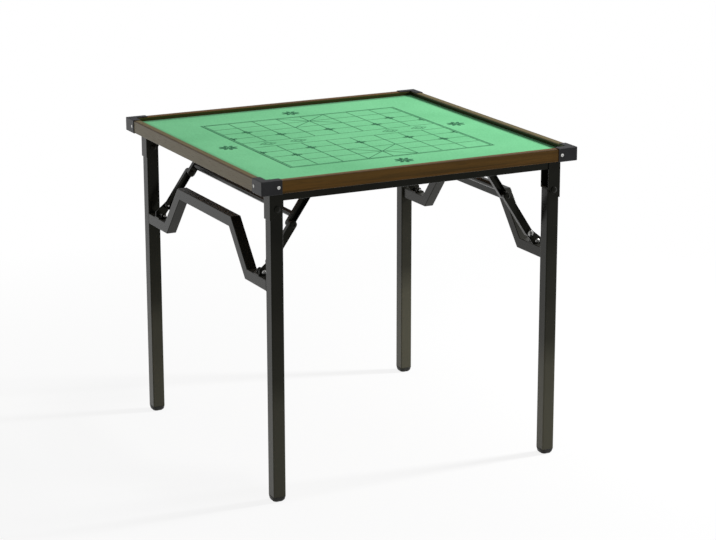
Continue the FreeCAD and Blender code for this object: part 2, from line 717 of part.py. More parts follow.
def build_channel(name, end, length, inner, web_inside):
    """Pressed channel with round ends and a hole at each end, its web towards or away from the X axis."""
    body = new_body(name)
    blank = new_layer(body, "blank", end, inner, "Sizes.channel_depth")
    draw_slot(blank, length, "Layout.channel_half")
    add_pad(body, blank, "Sizes.channel_depth")
    hollow_inner = f"({inner} + Sizes.channel_web)" if web_inside else inner
    hollow_depth = "(Sizes.channel_depth - Sizes.channel_web)"
    hollow = new_layer(body, "hollow", end, hollow_inner, hollow_depth)
    draw_slot(hollow, length, "Layout.channel_half - Sizes.channel_flange")
    add_pocket(body, hollow, hollow_depth)
    holes = new_sketch(body, "holes", "XZ_Plane")
    for x in ("0", length):
        draw_circle(holes, x, "0", "Layout.bolt_hole")
    add_pocket(body, holes)
    return body


def build_arm(name, side, end):
    """Upper half of a brace, from its pivot under the board down to the knee."""
    body = build_channel(name, end, f"Layout.arm_{side}", "Layout.arm_inner", web_inside=True)
    turn = f"180 - Layout.slope_{side}" if side == "left" else f"Layout.slope_{side}"
    place(body, x=inward(side, "Sizes.arm_pivot_inset"), z="Layout.arm_pivot", turn=turn, axis=(0, 1, 0))
    return body


def build_link(name, side, end):
    """Lower half of a brace, from its pivot on the crossbar up to the knee."""
    body = build_channel(name, end, f"Layout.link_{side}", "Layout.link_inner", web_inside=False)
    turn = f"360 - Layout.slope_{side}" if side == "left" else f"180 + Layout.slope_{side}"
    place(body, x=inward(side, "Sizes.link_pivot_inset"), z=f"Layout.link_pivot_{side}", turn=turn,
          axis=(0, 1, 0))
    return body


def build_pull_bar(name, side):
    """Round tube between the two arms of a frame, pulled down to start the fold."""
    body = new_body(name)
    section = new_sketch(body, "section", "XZ_Plane")
    draw_circle(section, "0", "0", "Sizes.pull_radius")
    add_pad(body, section, "2 * Layout.arm_inner", both_ways=True)
    bore = new_sketch(body, "bore", "XZ_Plane")
    draw_circle(bore, "0", "0", "Sizes.pull_radius - Sizes.pull_wall")
    add_pocket(body, bore)
    place(body, x=inward(side, f"Layout.pull_inset_{side}"), z=f"Layout.pull_level_{side}")
    return body


# ---------------------------------------------------------------------------------------------------
# Fasteners: each group is one sub-part with a separate solid per piece

def turned(profile, seat, outward):
    """Solid of revolution of a closed (radius, height) wire, its axis turned to a direction."""
    solid = Part.Face(profile).revolve(Vector(0, 0, 0), Vector(0, 0, 1), 360)
    solid.Placement = FreeCAD.Placement(Vector(*seat), FreeCAD.Rotation(Vector(0, 0, 1), Vector(*outward)))
    return solid


def headed_profile(shank_radius, shank_length, head_radius, head_height):
    """Half section of a head with a bevelled rim that sits at height 0 on a shank below it."""
    bevel = head_height / 2
    points = [Vector(0, 0, head_height), Vector(0, 0, -shank_length), Vector(shank_radius, 0, -shank_length),
              Vector(shank_radius, 0, 0), Vector(head_radius, 0, 0), Vector(head_radius, 0, bevel),
              Vector(head_radius - bevel, 0, head_height)]
    return Part.makePolygon(points + points[:1])


def bolt(shank_radius, shank_length, head_radius, head_height, seat, outward):
    return turned(headed_profile(shank_radius, shank_length, head_radius, head_height), seat, outward)


def double_headed_pin(shank_radius, shank_length, head_radius, head_height, seat, outward):
    """Riveted pin with a head at both ends; seat is under the first head."""
    first = bolt(shank_radius, shank_length, head_radius, head_height, seat, outward)
    far_seat = Vector(*seat) - Vector(*outward) * shank_length
    second = bolt(shank_radius, shank_length / 2, head_radius, head_height, far_seat, -Vector(*outward))
    return first.fuse(second).removeSplitter()


def hex_nut(bore_radius, across, height, seat, outward):
    """Hexagonal nut whose near face lies at the seat and whose body runs along outward."""
    corner = Vector(across / math.sqrt(3), 0, 0)
    turns = [FreeCAD.Rotation(Vector(0, 0, 1), 60 * step) for step in range(6)]
    points = [turn.multVec(corner) for turn in turns]
    prism = Part.Face(Part.makePolygon(points + points[:1])).extrude(Vector(0, 0, height))
    nut = prism.cut(Part.makeCylinder(bore_radius, height))
    nut.Placement = FreeCAD.Placement(Vector(*seat), FreeCAD.Rotation(Vector(0, 0, 1), Vector(*outward)))
    return nut


def add_group(name, shapes, x="0", z="0"):
    """One sub-part that holds several separate solids, drawn about a common origin."""
    group = doc.addObject("Part::Feature", name)
    group.Label = name
    group.Shape = Part.makeCompound(shapes)
    place(group, x=x, z=z)
    return group


def wood_screw(length, seat, outward):
    return bolt(number("Sizes.screw_radius"), length, number("Sizes.screw_head_radius"),
                number("Sizes.screw_head_height"), seat, outward)


def build_cap_screws():
    bite = number("Sizes.screw_bite + Sizes.cap_wall")
    setback = number("Sizes.cap_screw_setback")
    half_x, half_y = number("Layout.half_width"), number("Layout.half_depth")
    level = number("Sizes.strip_height / 2")
    screws = []
    for x_sign in SIDES.values():
        for y_sign in ENDS.values():
            across_face = (x_sign * (half_x - setback), y_sign * half_y, level)
            side_face = (x_sign * half_x, y_sign * (half_y - setback), level)
            screws.append(wood_screw(bite, across_face, (0, y_sign, 0)))
            screws.append(wood_screw(bite, side_face, (x_sign, 0, 0)))
    return add_group("cap_screws", screws, z="Layout.strip_bottom")


def build_board_screws(name, places, through, level):
    """Wood screws driven up into the board through pieces of the given thickness."""
    length = number(f"{through} + Sizes.screw_bite")
    screws = [wood_screw(length, (number(x), number(y), 0), (0, 0, -1)) for x, y in places]
    return add_group(name, screws, z=level)


def build_pivot_pins(name, side):
    length = number("2 * Layout.bracket_half")
    pins = [double_headed_pin(number("Sizes.pivot_radius"), length, number("Sizes.pivot_head_radius"),
                              number("Sizes.pivot_head_height"),
                              (0, y_sign * number("Layout.leg_y + Layout.bracket_half"), 0), (0, y_sign, 0))
            for y_sign in ENDS.values()]
    return add_group(name, pins, x=inward(side, "0"), z=f"Layout.pivot_{side}")


def brace_bolt(shank_length, seat, outward, head_radius="Sizes.bolt_head_radius"):
    head_height = number("Sizes.bolt_head_height")
    return bolt(number("Sizes.bolt_radius"), shank_length, number(head_radius), head_height, seat, outward)


def brace_nut(seat, outward):
    return hex_nut(number("Sizes.bolt_radius"), number("Sizes.nut_across"), number("Sizes.nut_height"), seat,
                   outward)


def build_mount_bolts(name, side):
    """Bolts of the arms' pivots: head inside the mount's ear, nut inside the arm's channel."""
    shapes = []
    head = number("Layout.mount_inner")
    nut = number("Layout.arm_inner + Sizes.channel_web + Sizes.nut_play")
    for y_sign in ENDS.values():
        length = nut + number("Sizes.nut_height") - head
        shapes.append(brace_bolt(length, (0, y_sign * head, 0), (0, -y_sign, 0)))
        shapes.append(brace_nut((0, y_sign * nut, 0), (0, y_sign, 0)))
    return add_group(name, shapes, x=inward(side, "Sizes.arm_pivot_inset"), z="Layout.arm_pivot")


def build_link_bolts(name, side):
    """Bolts of the links' pivots: head outside the saddle's ear, nut inside the link's channel."""
    shapes = []
    head = number("Layout.saddle_outer")
    nut = number("Layout.link_outer - Sizes.channel_web - Sizes.nut_play")
    for y_sign in ENDS.values():
        length = head - nut + number("Sizes.nut_height")
        shapes.append(brace_bolt(length, (0, y_sign * head, 0), (0, y_sign, 0)))
        shapes.append(brace_nut((0, y_sign * nut, 0), (0, -y_sign, 0)))
    return add_group(name, shapes, x=inward(side, "Sizes.link_pivot_inset"), z=f"Layout.link_pivot_{side}")


def build_clamp_bolts(name, side):
    """Long bolts with small heads that hold the two ears of each saddle together."""
    shapes = []
    head = number("Layout.saddle_outer")
    nut = number("Layout.saddle_inner")
    for y_sign in ENDS.values():
        length = head - nut + number("Sizes.nut_height")
        shapes.append(brace_bolt(length, (0, y_sign * head, 0), (0, y_sign, 0), "Sizes.clamp_head_radius"))
        shapes.append(brace_nut((0, y_sign * nut, 0), (0, -y_sign, 0)))
    level = f"Layout.bar_level_{side} + Sizes.bar_size / 2 + Sizes.clamp_bolt_rise"
    return add_group(name, shapes, x=inward(side, "Sizes.clamp_bolt_inset"), z=level)


def build_knee_bolts(name, side, face, inside_depth, outward):
    """Half of each knee pivot: its head lies on a channel's web and its shank ends inside that channel."""
    shapes = [brace_bolt(inside_depth, (0, y_sign * face, 0), (0, y_sign * outward, 0))
              for y_sign in ENDS.values()]
    return add_group(name, shapes, x=inward(side, f"Layout.knee_inset_{side}"), z=f"Layout.knee_level_{side}")


# ---------------------------------------------------------------------------------------------------
# Assembly

parts = [build_board(), build_sheet_part("felt_surface", "Layout.board_top", "Sizes.baize_thickness")]
parts.append(build_strip("rim_strip_front", "Layout.rim_x", "Layout.rim_y", "0"))
parts.append(build_strip("rim_strip_right", "Layout.rim_y", "Layout.rim_x", "90"))
parts.append(build_strip("rim_strip_back", "Layout.rim_x", "Layout.rim_y", "180"))
parts.append(build_strip("rim_strip_left", "Layout.rim_y", "Layout.rim_x", "270"))
parts.append(build_cap_screws())
parts.append(build_board_screws("rail_screws", rail_screw_places(), "Sizes.rail_height",
                                "Layout.rail_bottom"))
parts.append(build_board_screws("mount_screws", mount_screw_places(), "Sizes.plate",
                                "Layout.board_bottom - Sizes.plate"))
for end, y_sign in ENDS.items():
    parts.append(build_rail(f"rail_{end}", y_sign))

knee_shank = number("Layout.knee_shank")
for side, x_sign in SIDES.items():
    parts.append(build_pivot_pins(f"pivot_pins_{side}", side))
    parts.append(build_mount_bolts(f"mount_bolts_{side}", side))
    parts.append(build_crossbar(f"crossbar_{side}", side))
    parts.append(build_link_bolts(f"link_bolts_{side}", side))
    parts.append(build_clamp_bolts(f"clamp_bolts_{side}", side))
    parts.append(build_pull_bar(f"pull_bar_{side}", side))
    parts.append(build_knee_bolts(f"knee_bolts_{side}", side, number("Layout.arm_inner"), knee_shank, -1))
    parts.append(build_knee_bolts(f"knee_nuts_{side}", side, number("Layout.link_outer"), knee_shank, 1))
    for end, y_sign in ENDS.items():
        corner = f"{end}_{side}"
        parts.append(build_cap(f"corner_cap_{corner}", x_sign, y_sign))
        parts.append(build_pivot_bracket(f"pivot_bracket_{corner}", side, y_sign))
        parts.append(build_brace_mount(f"brace_mount_{corner}", side, end))
        parts.append(build_leg(f"leg_{corner}", side, y_sign))
        parts.append(build_foot(f"foot_{corner}", side, y_sign))
        parts.append(build_saddle(f"link_bracket_{corner}", side, end))
        parts.append(build_arm(f"brace_arm_{corner}", side, end))
        parts.append(build_link(f"brace_link_{corner}", side, end))

doc.recompute()

for item in doc.Objects:
    if "Invalid" in item.State or "Error" in item.State:
        raise RuntimeError(f"{item.Name} is {item.State}")

os.makedirs("parts", exist_ok=True)
for part in parts:
    shape = part.Shape
    if shape.isNull() or not shape.isValid() or shape.Volume <= 0:
        raise RuntimeError(f"{part.Label} has no valid solid")
    shape.exportStep(f"parts/{part.Label}.step")
    print(f"{part.Label}: {len(shape.Solids)} solids, {shape.Volume:.0f} mm3")
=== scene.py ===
import bpy
import bmesh
import math
from mathutils import Matrix, Vector, noise


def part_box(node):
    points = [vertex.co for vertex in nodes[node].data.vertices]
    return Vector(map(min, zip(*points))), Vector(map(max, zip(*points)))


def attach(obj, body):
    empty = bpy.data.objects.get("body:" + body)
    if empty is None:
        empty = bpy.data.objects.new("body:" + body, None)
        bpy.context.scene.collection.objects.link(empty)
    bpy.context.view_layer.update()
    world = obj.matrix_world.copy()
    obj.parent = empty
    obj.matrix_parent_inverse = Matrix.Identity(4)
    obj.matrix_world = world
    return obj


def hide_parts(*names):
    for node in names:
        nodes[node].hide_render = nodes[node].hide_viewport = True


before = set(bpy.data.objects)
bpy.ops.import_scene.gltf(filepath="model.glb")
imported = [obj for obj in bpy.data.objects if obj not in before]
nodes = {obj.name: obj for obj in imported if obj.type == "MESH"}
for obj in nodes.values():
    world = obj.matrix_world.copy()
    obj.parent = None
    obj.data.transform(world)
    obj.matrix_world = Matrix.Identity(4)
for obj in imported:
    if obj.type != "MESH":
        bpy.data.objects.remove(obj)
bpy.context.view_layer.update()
mm = 0.001
tiny = 0.001 * mm  # far below any size of the table
sides = ("left", "right")
ends = ("front", "back")
print("frame loaded:", len(nodes), "nodes")


def addObject(name, data):
    item = bpy.data.objects.new(name, data)
    bpy.context.scene.collection.objects.link(item)
    return item


# camera, with its turns in degrees
cameraView = {
    "place": (-2.408, -4.832, 1.878),
    "heading": -26.82,
    "pitch": 74.77,
    "roll": -0.09,
    "focal": 116.48,
    "sensor": 36.0,
    "clip": (0.1, 60.0),
}


def makeCamera():
    data = bpy.data.cameras.new("tableCamera")
    data.lens = cameraView["focal"]
    data.sensor_width = cameraView["sensor"]
    data.clip_start, data.clip_end = cameraView["clip"]
    camera = addObject("tableCamera", data)
    stand = Matrix.Translation(cameraView["place"])
    for turn, axis in (("heading", "Z"), ("pitch", "X"), ("roll", "Z")):
        stand = stand @ Matrix.Rotation(math.radians(cameraView[turn]), 4, axis)
    camera.matrix_world = stand
    bpy.context.scene.camera = camera


makeCamera()
print("camera placed")


# node helpers
def feed(tree, socket, value):
    # value is another node's output, a number, a vector or a colour without its alpha
    if isinstance(value, bpy.types.NodeSocket):
        tree.links.new(value, socket)
    elif socket.type == "RGBA":
        socket.default_value = (*value, 1.0)
    else:
        socket.default_value = value


def addNode(tree, kind, sockets=None, **settings):
    made = tree.nodes.new(kind)
    for name, value in settings.items():
        setattr(made, name, value)
    for name, value in (sockets or {}).items():
        feed(tree, made.inputs[name], value)
    return made


def mixColours(tree, factor, first, second):
    mixer = addNode(tree, "ShaderNodeMix", {0: factor, 6: first, 7: second}, data_type="RGBA")
    return mixer.outputs[2]


def mixShaders(tree, factor, first, second):
    return addNode(tree, "ShaderNodeMixShader", {0: factor, 1: first, 2: second}).outputs[0]


def compute(tree, operation, *values, clamp=False):
    maths = addNode(tree, "ShaderNodeMath", dict(enumerate(values)), operation=operation, use_clamp=clamp)
    return maths.outputs[0]


def spread(tree, value, low, high, newLow=0.0, newHigh=1.0):
    remap = addNode(tree, "ShaderNodeMapRange",
                    {"Value": value, "From Min": low, "From Max": high, "To Min": newLow, "To Max": newHigh})
    return remap.outputs["Result"]


def objectPlace(tree):
    return addNode(tree, "ShaderNodeTexCoord").outputs["Object"]


def stretched(tree, scale):
    return addNode(tree, "ShaderNodeMapping", {"Vector": objectPlace(tree), "Scale": scale}).outputs["Vector"]


def splitAxes(tree, vector):
    return addNode(tree, "ShaderNodeSeparateXYZ", {"Vector": vector}).outputs


def addNoise(tree, vector, sockets):
    return addNode(tree, "ShaderNodeTexNoise", {"Vector": vector, **sockets}).outputs[0]


def bumped(tree, height, distance, strength, under=None):
    sockets = {"Height": height, "Distance": distance, "Strength": strength}
    if under is not None:
        sockets["Normal"] = under
    return addNode(tree, "ShaderNodeBump", sockets).outputs["Normal"]


def emptyTree(owner):
    owner.use_nodes = True
    owner.node_tree.nodes.clear()
    return owner.node_tree


# shared effects
def addGroupSockets(group, direction, labels):
    for label in labels:
        kind = "NodeSocketVector" if label in ("Vector", "Normal") else "NodeSocketFloat"
        group.interface.new_socket(name=label, in_out=direction, socket_type=kind)


def openGroup(name, *inputs):
    group = bpy.data.node_groups.new(name, "ShaderNodeTree")
    addGroupSockets(group, "INPUT", inputs)
    return group, group.nodes.new("NodeGroupInput").outputs


def closeGroup(group, **outputs):
    addGroupSockets(group, "OUTPUT", outputs)
    addNode(group, "NodeGroupOutput", outputs)
    return group


def useGroup(tree, group, values):
    return addNode(tree, "ShaderNodeGroup", values, node_tree=group).outputs


edgeEffect = {"samples": 6, "gain": 5.0, "patchDetail": 4.0, "patchRange": (0.48, 0.66)}


def makeEdgeGroup():
    # Mask rises to Wear along the edges, in patches, and Normal has the edges eased by Radius
    group, given = openGroup("easedEdges", "Radius", "Wear", "Patch")
    eased = addNode(group, "ShaderNodeBevel", {"Radius": given["Radius"]}, samples=edgeEffect["samples"])
    geometry = addNode(group, "ShaderNodeNewGeometry")
    match = addNode(group, "ShaderNodeVectorMath",
                    {0: eased.outputs["Normal"], 1: geometry.outputs["Normal"]}, operation="DOT_PRODUCT")
    rounding = compute(group, "SUBTRACT", 1.0, match.outputs["Value"], clamp=True)
    edge = compute(group, "MULTIPLY", rounding, edgeEffect["gain"], clamp=True)
    patches = addNoise(group, objectPlace(group),
                       {"Scale": given["Patch"], "Detail": edgeEffect["patchDetail"]})
    worn = compute(group, "MULTIPLY", edge, spread(group, patches, *edgeEffect["patchRange"]))
    mask = compute(group, "MULTIPLY", worn, given["Wear"], clamp=True)
    return closeGroup(group, Mask=mask, Normal=eased.outputs["Normal"])


grainEffect = {"Fine": 3.0, "Cloud": 5.0}  # detail of each noise


def makeGrainGroup():
    # Fine is small even grain, Cloud is a slow drift from place to place, both about 0.5
    group, given = openGroup("surfaceGrain", "Fine Scale", "Cloud Scale")
    place = objectPlace(group)
    noises = {label: addNoise(group, place, {"Scale": given[label + " Scale"], "Detail": detail})
              for label, detail in grainEffect.items()}
    return closeGroup(group, **noises)


dustEffect = {
    "upward": (0.45, 1.0),
    "specks": {"Scale": 38.0, "Detail": 8.0, "Roughness": 0.7},
    "speckRange": (0.35, 0.75),
}


def makeDustGroup():
    # Upward is 1 on faces that look up, and Dust lies there in patches
    group, given = openGroup("settledDust", "Amount")
    geometry = addNode(group, "ShaderNodeNewGeometry")
    upward = spread(group, splitAxes(group, geometry.outputs["Normal"])["Z"], *dustEffect["upward"])
    specks = addNoise(group, objectPlace(group), dustEffect["specks"])
    patchy = compute(group, "MULTIPLY", upward, spread(group, specks, *dustEffect["speckRange"]))
    return closeGroup(group, Dust=compute(group, "MULTIPLY", patchy, given["Amount"]), Upward=upward)


streakEffect = {
    "Streaks": {"Scale": 1.0, "Detail": 6.0, "Distortion": 0.6},
    "Pores": {"Scale": 5.0, "Detail": 2.0, "Distortion": 0.0},
    "Bands": {"Scale": 0.18, "Detail": 3.0, "Distortion": 0.3},
}


def makeStreakGroup():
    # Vector comes in already squeezed along the streaks
    group, given = openGroup("woodStreaks", "Vector")
    noises = {label: addNoise(group, given["Vector"], sockets) for label, sockets in streakEffect.items()}
    return closeGroup(group, **noises)


edgeGroup = makeEdgeGroup()
grainGroup = makeGrainGroup()
dustGroup = makeDustGroup()
streakGroup = makeStreakGroup()


# material helpers
noiseRange = (0.3, 0.7)  # nearly all of a noise lies between these
shadeRange = (0.35, 0.65)  # a little less, so that both shades are reached


def startMaterial(name):
    material = bpy.data.materials.new(name)
    return material, emptyTree(material)


def finishMaterial(tree, colour, roughness, normal, look):
    sockets = {"Base Color": colour, "Roughness": roughness, "Normal": normal, **look.get("shader", {})}
    shader = addNode(tree, "ShaderNodeBsdfPrincipled", sockets)
    addNode(tree, "ShaderNodeOutputMaterial", {"Surface": shader.outputs[0]})


def varied(tree, grain, low, high):
    return spread(tree, grain, *noiseRange, low, high)


def shaded(tree, grain, first, second):
    return mixColours(tree, spread(tree, grain, *shadeRange), first, second)


def aged(tree, colour, edges, dust, look):
    colour = mixColours(tree, edges["Mask"], colour, look["worn"])
    return mixColours(tree, dust["Dust"], colour, look["dust"])


def shifted(start, distances):
    return [start + distance for distance in distances]


def mattOnTop(tree, gloss, dust, look):
    # faces that look up are rougher by topMatt
    return compute(tree, "ADD", gloss, compute(tree, "MULTIPLY", dust["Upward"], look["topMatt"]))


# green baize
feltLook = {
    "deep": (0.130, 0.520, 0.225),
    "light": (0.200, 0.665, 0.312),
    "shadeRange": (0.38, 0.62),
    "grain": {"Fine Scale": 1400.0, "Cloud Scale": 5.0},
    "nap": {"Scale": 260.0, "Detail": 6.0, "Roughness": 0.65},
    "napShare": 0.55,
    "napHeight": 1.5,
    # the colour of the painted shade along the rim
    "rimShadeColour": (0.008, 0.085, 0.020),
    "rimShadeFrom": (-24.5 * mm, -5.5 * mm),  # measured from the edge of the baize
    "rimShadeStrength": 0.85,
    "rough": (0.86, 1.0),
    "bump": (0.25 * mm, 0.7),
    "shader": {"Specular IOR Level": 0.12, "Sheen Weight": 0.12, "Sheen Roughness": 0.5,
               "Sheen Tint": (0.75, 1.0, 0.85)},
}


def makeFelt():
    material, tree = startMaterial("greenBaize")
    grain = useGroup(tree, grainGroup, feltLook["grain"])
    place = objectPlace(tree)
    nap = addNoise(tree, place, feltLook["nap"])
    shade = compute(tree, "ADD", compute(tree, "MULTIPLY", nap, feltLook["napShare"]),
                    compute(tree, "MULTIPLY", grain["Cloud"], 1 - feltLook["napShare"]))
    shade = spread(tree, shade, *feltLook["shadeRange"])
    colour = mixColours(tree, shade, feltLook["deep"], feltLook["light"])
    # painted shade: along the rim the baize is darker, where the rim casts its shadow on it
    axes = splitAxes(tree, place)
    outward = compute(tree, "MAXIMUM", *(compute(tree, "ABSOLUTE", axes[axis]) for axis in ("X", "Y")))
    reach = shifted(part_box("felt_surface")[1].x, feltLook["rimShadeFrom"])
    rimShade = spread(tree, outward, *reach, newHigh=feltLook["rimShadeStrength"])
    colour = mixColours(tree, rimShade, colour, feltLook["rimShadeColour"])
    fibres = compute(tree, "ADD", grain["Fine"], compute(tree, "MULTIPLY", nap, feltLook["napHeight"]))
    finishMaterial(tree, colour, varied(tree, grain["Fine"], *feltLook["rough"]),
                   bumped(tree, fibres, *feltLook["bump"]), feltLook)
    return material


# ink of the printed board
inkLook = {
    "deep": (0.016, 0.105, 0.048),
    "faded": (0.045, 0.200, 0.095),
    "grain": {"Fine Scale": 1100.0, "Cloud Scale": 40.0},
    "rough": (0.8, 1.0),
    "bump": (0.1 * mm, 0.6),
    "shader": {"Specular IOR Level": 0.15},
}


def makeInk():
    material, tree = startMaterial("printInk")
    grain = useGroup(tree, grainGroup, inkLook["grain"])
    finishMaterial(tree, shaded(tree, grain["Cloud"], inkLook["deep"], inkLook["faded"]),
                   varied(tree, grain["Fine"], *inkLook["rough"]),
                   bumped(tree, grain["Fine"], *inkLook["bump"]), inkLook)
    return material


# wood of the rim
woodLook = {
    "dark": (0.022, 0.0085, 0.0030),
    "middle": (0.098, 0.0400, 0.0080),
    "worn": (0.150, 0.0720, 0.0240),
    "dust": (0.180, 0.1500, 0.1000),
    "along": 5.0,
    "across": 170.0,
    "streakRange": (0.35, 0.62),
    "bandStrength": 0.85,
    "poreRange": (0.60, 0.75),
    "poreStrength": 0.7,
    "innerShadeFrom": (0.1 * mm, 0.8 * mm),  # measured from the inner face
    "innerShadeStrength": 0.85,
    # the colour of the painted shade along the outer upper edge
    "edgeShade": (0.028, 0.0100, 0.0040),
    "edgeShadeOut": (-5.5 * mm, -2.5 * mm),  # measured from the outer face
    "edgeShadeUp": (-2.7 * mm, -1.3 * mm),  # measured from the top
    "edgeShadeStrength": 0.85,
    "edges": {"Radius": 1.2 * mm, "Wear": 0.45, "Patch": 35.0},
    "dustAmount": 0.06,
    "rough": (0.26, 0.38),
    "topMatt": 0.40,
    "bump": (0.08 * mm, 0.35),
    "shader": {"IOR": 1.44, "Specular Tint": (0.75, 0.54, 0.18)},
}
# the strips at the sides are more olive than those in front and behind, a painted grey reflection; inner is
# the colour of the painted shade, with a painted green reflection of the baize, on the face towards the
# baize; axis points out of the rim
woodStrips = {
    "rimWoodAlongX": {
        "node": "rim_strip_back",
        "axis": 1,
        "scale": (woodLook["along"], woodLook["across"], woodLook["across"]),
        "olive": (0.110, 0.0520, 0.0110),
        "bands": (0.42, 0.66),
        "inner": (0.013, 0.0260, 0.0070),
    },
    "rimWoodAlongY": {
        "node": "rim_strip_right",
        "axis": 0,
        "scale": (woodLook["across"], woodLook["along"], woodLook["across"]),
        # painted reflection: this olive stands for the grey sheen the side strips reflect
        "olive": (0.108, 0.0920, 0.0380),
        "bands": (0.22, 0.50),
        "inner": (0.003, 0.0110, 0.0015),
    },
}


def makeWood(name):
    strip = woodStrips[name]
    material, tree = startMaterial(name)
    streaks = useGroup(tree, streakGroup, {"Vector": stretched(tree, strip["scale"])})
    edges = useGroup(tree, edgeGroup, woodLook["edges"])
    dust = useGroup(tree, dustGroup, {"Amount": woodLook["dustAmount"]})
    grown = spread(tree, streaks["Streaks"], *woodLook["streakRange"])
    bands = spread(tree, streaks["Bands"], *strip["bands"], newHigh=woodLook["bandStrength"])
    pores = spread(tree, streaks["Pores"], *woodLook["poreRange"], newHigh=woodLook["poreStrength"])
    colour = mixColours(tree, grown, woodLook["dark"], woodLook["middle"])
    colour = mixColours(tree, bands, colour, strip["olive"])
    colour = mixColours(tree, pores, colour, woodLook["dark"])
    colour = aged(tree, colour, edges, dust, woodLook)
    # painted shade with a painted green reflection of the baize: the face towards the baize is dark green
    axes = splitAxes(tree, objectPlace(tree))
    outward = compute(tree, "ABSOLUTE", axes[strip["axis"]])
    low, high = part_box(strip["node"])
    inner = spread(tree, outward, *shifted(low[strip["axis"]], woodLook["innerShadeFrom"]),
                   woodLook["innerShadeStrength"], 0.0)
    colour = mixColours(tree, inner, colour, strip["inner"])
    # painted shade: the wood is darker where it turns over its outer upper edge
    out = spread(tree, outward, *shifted(high[strip["axis"]], woodLook["edgeShadeOut"]))
    up = spread(tree, axes["Z"], *shifted(high.z, woodLook["edgeShadeUp"]), newHigh=woodLook["edgeShadeStrength"])
    colour = mixColours(tree, compute(tree, "MULTIPLY", out, up), colour, woodLook["edgeShade"])
    gloss = varied(tree, streaks["Pores"], *woodLook["rough"])
    finishMaterial(tree, colour, mattOnTop(tree, gloss, dust, woodLook),
                   bumped(tree, streaks["Pores"], *woodLook["bump"], edges["Normal"]), woodLook)
    return material


# black paint of the steel parts
paintLook = {
    "deep": (0.0050, 0.0052, 0.0044),
    "faded": (0.0095, 0.0097, 0.0080),
    "worn": (0.045, 0.044, 0.038),
    "dust": (0.080, 0.076, 0.066),
    "scuffAndReflectionLeft": (0.071, 0.069, 0.051),
    "scuffReflectionAndLightRight": (0.095, 0.091, 0.066),
    "paintedLightAcross": (-0.2, 0.2),  # painted light: between these places the left colour turns into the lighter right one
    "scuffAndReflectionHeight": (0.60, 0.12),  # heights where a first lightening, scuffing with a painted reflection of the floor, starts and is full
    "paintedReflectionStep": (0.29, 0.22),  # the same for a second one, a painted reflection step
    "scuffAndReflectionStrength": 0.4,
    "grain": {"Fine Scale": 300.0, "Cloud Scale": 14.0},
    "edges": {"Radius": 0.8 * mm, "Wear": 0.4, "Patch": 90.0},
    "dustAmount": 0.02,
    "rough": (0.17, 0.24),
    "topMatt": 0.30,
    "bump": (0.008 * mm, 0.5),
    "shader": {"IOR": 1.37, "Specular Tint": (0.25, 0.25, 0.20)},
}


def makePaint():
    material, tree = startMaterial("blackEnamel")
    grain = useGroup(tree, grainGroup, paintLook["grain"])
    edges = useGroup(tree, edgeGroup, paintLook["edges"])
    dust = useGroup(tree, dustGroup, {"Amount": paintLook["dustAmount"]})
    colour = shaded(tree, grain["Cloud"], paintLook["deep"], paintLook["faded"])
    # towards the floor the paint is lighter and less deep, most at the bottom: partly scuffing, partly a
    # painted reflection of the floor with a painted reflection step; on the right frame it is lighter still,
    # painted light from the right
    axes = splitAxes(tree, objectPlace(tree))
    strength = paintLook["scuffAndReflectionStrength"]
    low = compute(tree, "ADD", spread(tree, axes["Z"], *paintLook["scuffAndReflectionHeight"], newHigh=strength),
                  spread(tree, axes["Z"], *paintLook["paintedReflectionStep"], newHigh=strength))
    # painted light: the lower paint is lighter on the right frame
    side = spread(tree, axes["X"], *paintLook["paintedLightAcross"])
    scuffAndLight = mixColours(tree, side, paintLook["scuffAndReflectionLeft"], paintLook["scuffReflectionAndLightRight"])
    colour = aged(tree, mixColours(tree, low, colour, scuffAndLight), edges, dust, paintLook)
    gloss = varied(tree, grain["Cloud"], *paintLook["rough"])
    finishMaterial(tree, colour, mattOnTop(tree, gloss, dust, paintLook),
                   bumped(tree, grain["Fine"], *paintLook["bump"], edges["Normal"]), paintLook)
    return material


# black plastic of the corner caps and of the feet
plasticLooks = {
    "capPlastic": {
        "deep": (0.0070, 0.0072, 0.0085),
        "light": (0.0135, 0.0138, 0.0155),
        "worn": (0.050, 0.050, 0.052),
        "dust": (0.090, 0.088, 0.080),
        "grain": {"Fine Scale": 1500.0, "Cloud Scale": 30.0},
        "edges": {"Radius": 0.7 * mm, "Wear": 0.6, "Patch": 120.0},
        "rough": (0.32, 0.44),
        "topMatt": 0.40,
    },
    "footPlastic": {
        "deep": (0.0100, 0.0100, 0.0080),
        "light": (0.0200, 0.0200, 0.0160),
        "worn": (0.060, 0.058, 0.052),
        "dust": (0.100, 0.095, 0.085),
        "grain": {"Fine Scale": 1100.0, "Cloud Scale": 30.0},
        "edges": {"Radius": 0.5 * mm, "Wear": 0.6, "Patch": 120.0},
        "rough": (0.42, 0.58),
        "topMatt": 0.0,
    },
}
# what both plastics share
plasticSurface = {
    "dustAmount": 0.06,
    "bump": (0.06 * mm, 0.6),
    "shader": {"IOR": 1.42, "Specular Tint": (0.50, 0.50, 0.50)},
}


def makePlastic(name):
    look = plasticLooks[name]
    material, tree = startMaterial(name)
    grain = useGroup(tree, grainGroup, look["grain"])
    edges = useGroup(tree, edgeGroup, look["edges"])
    dust = useGroup(tree, dustGroup, {"Amount": plasticSurface["dustAmount"]})
    colour = aged(tree, shaded(tree, grain["Cloud"], look["deep"], look["light"]), edges, dust, look)
    gloss = varied(tree, grain["Fine"], *look["rough"])
    normal = bumped(tree, grain["Fine"], *plasticSurface["bump"], edges["Normal"])
    finishMaterial(tree, colour, mattOnTop(tree, gloss, dust, look), normal, plasticSurface)
    return material


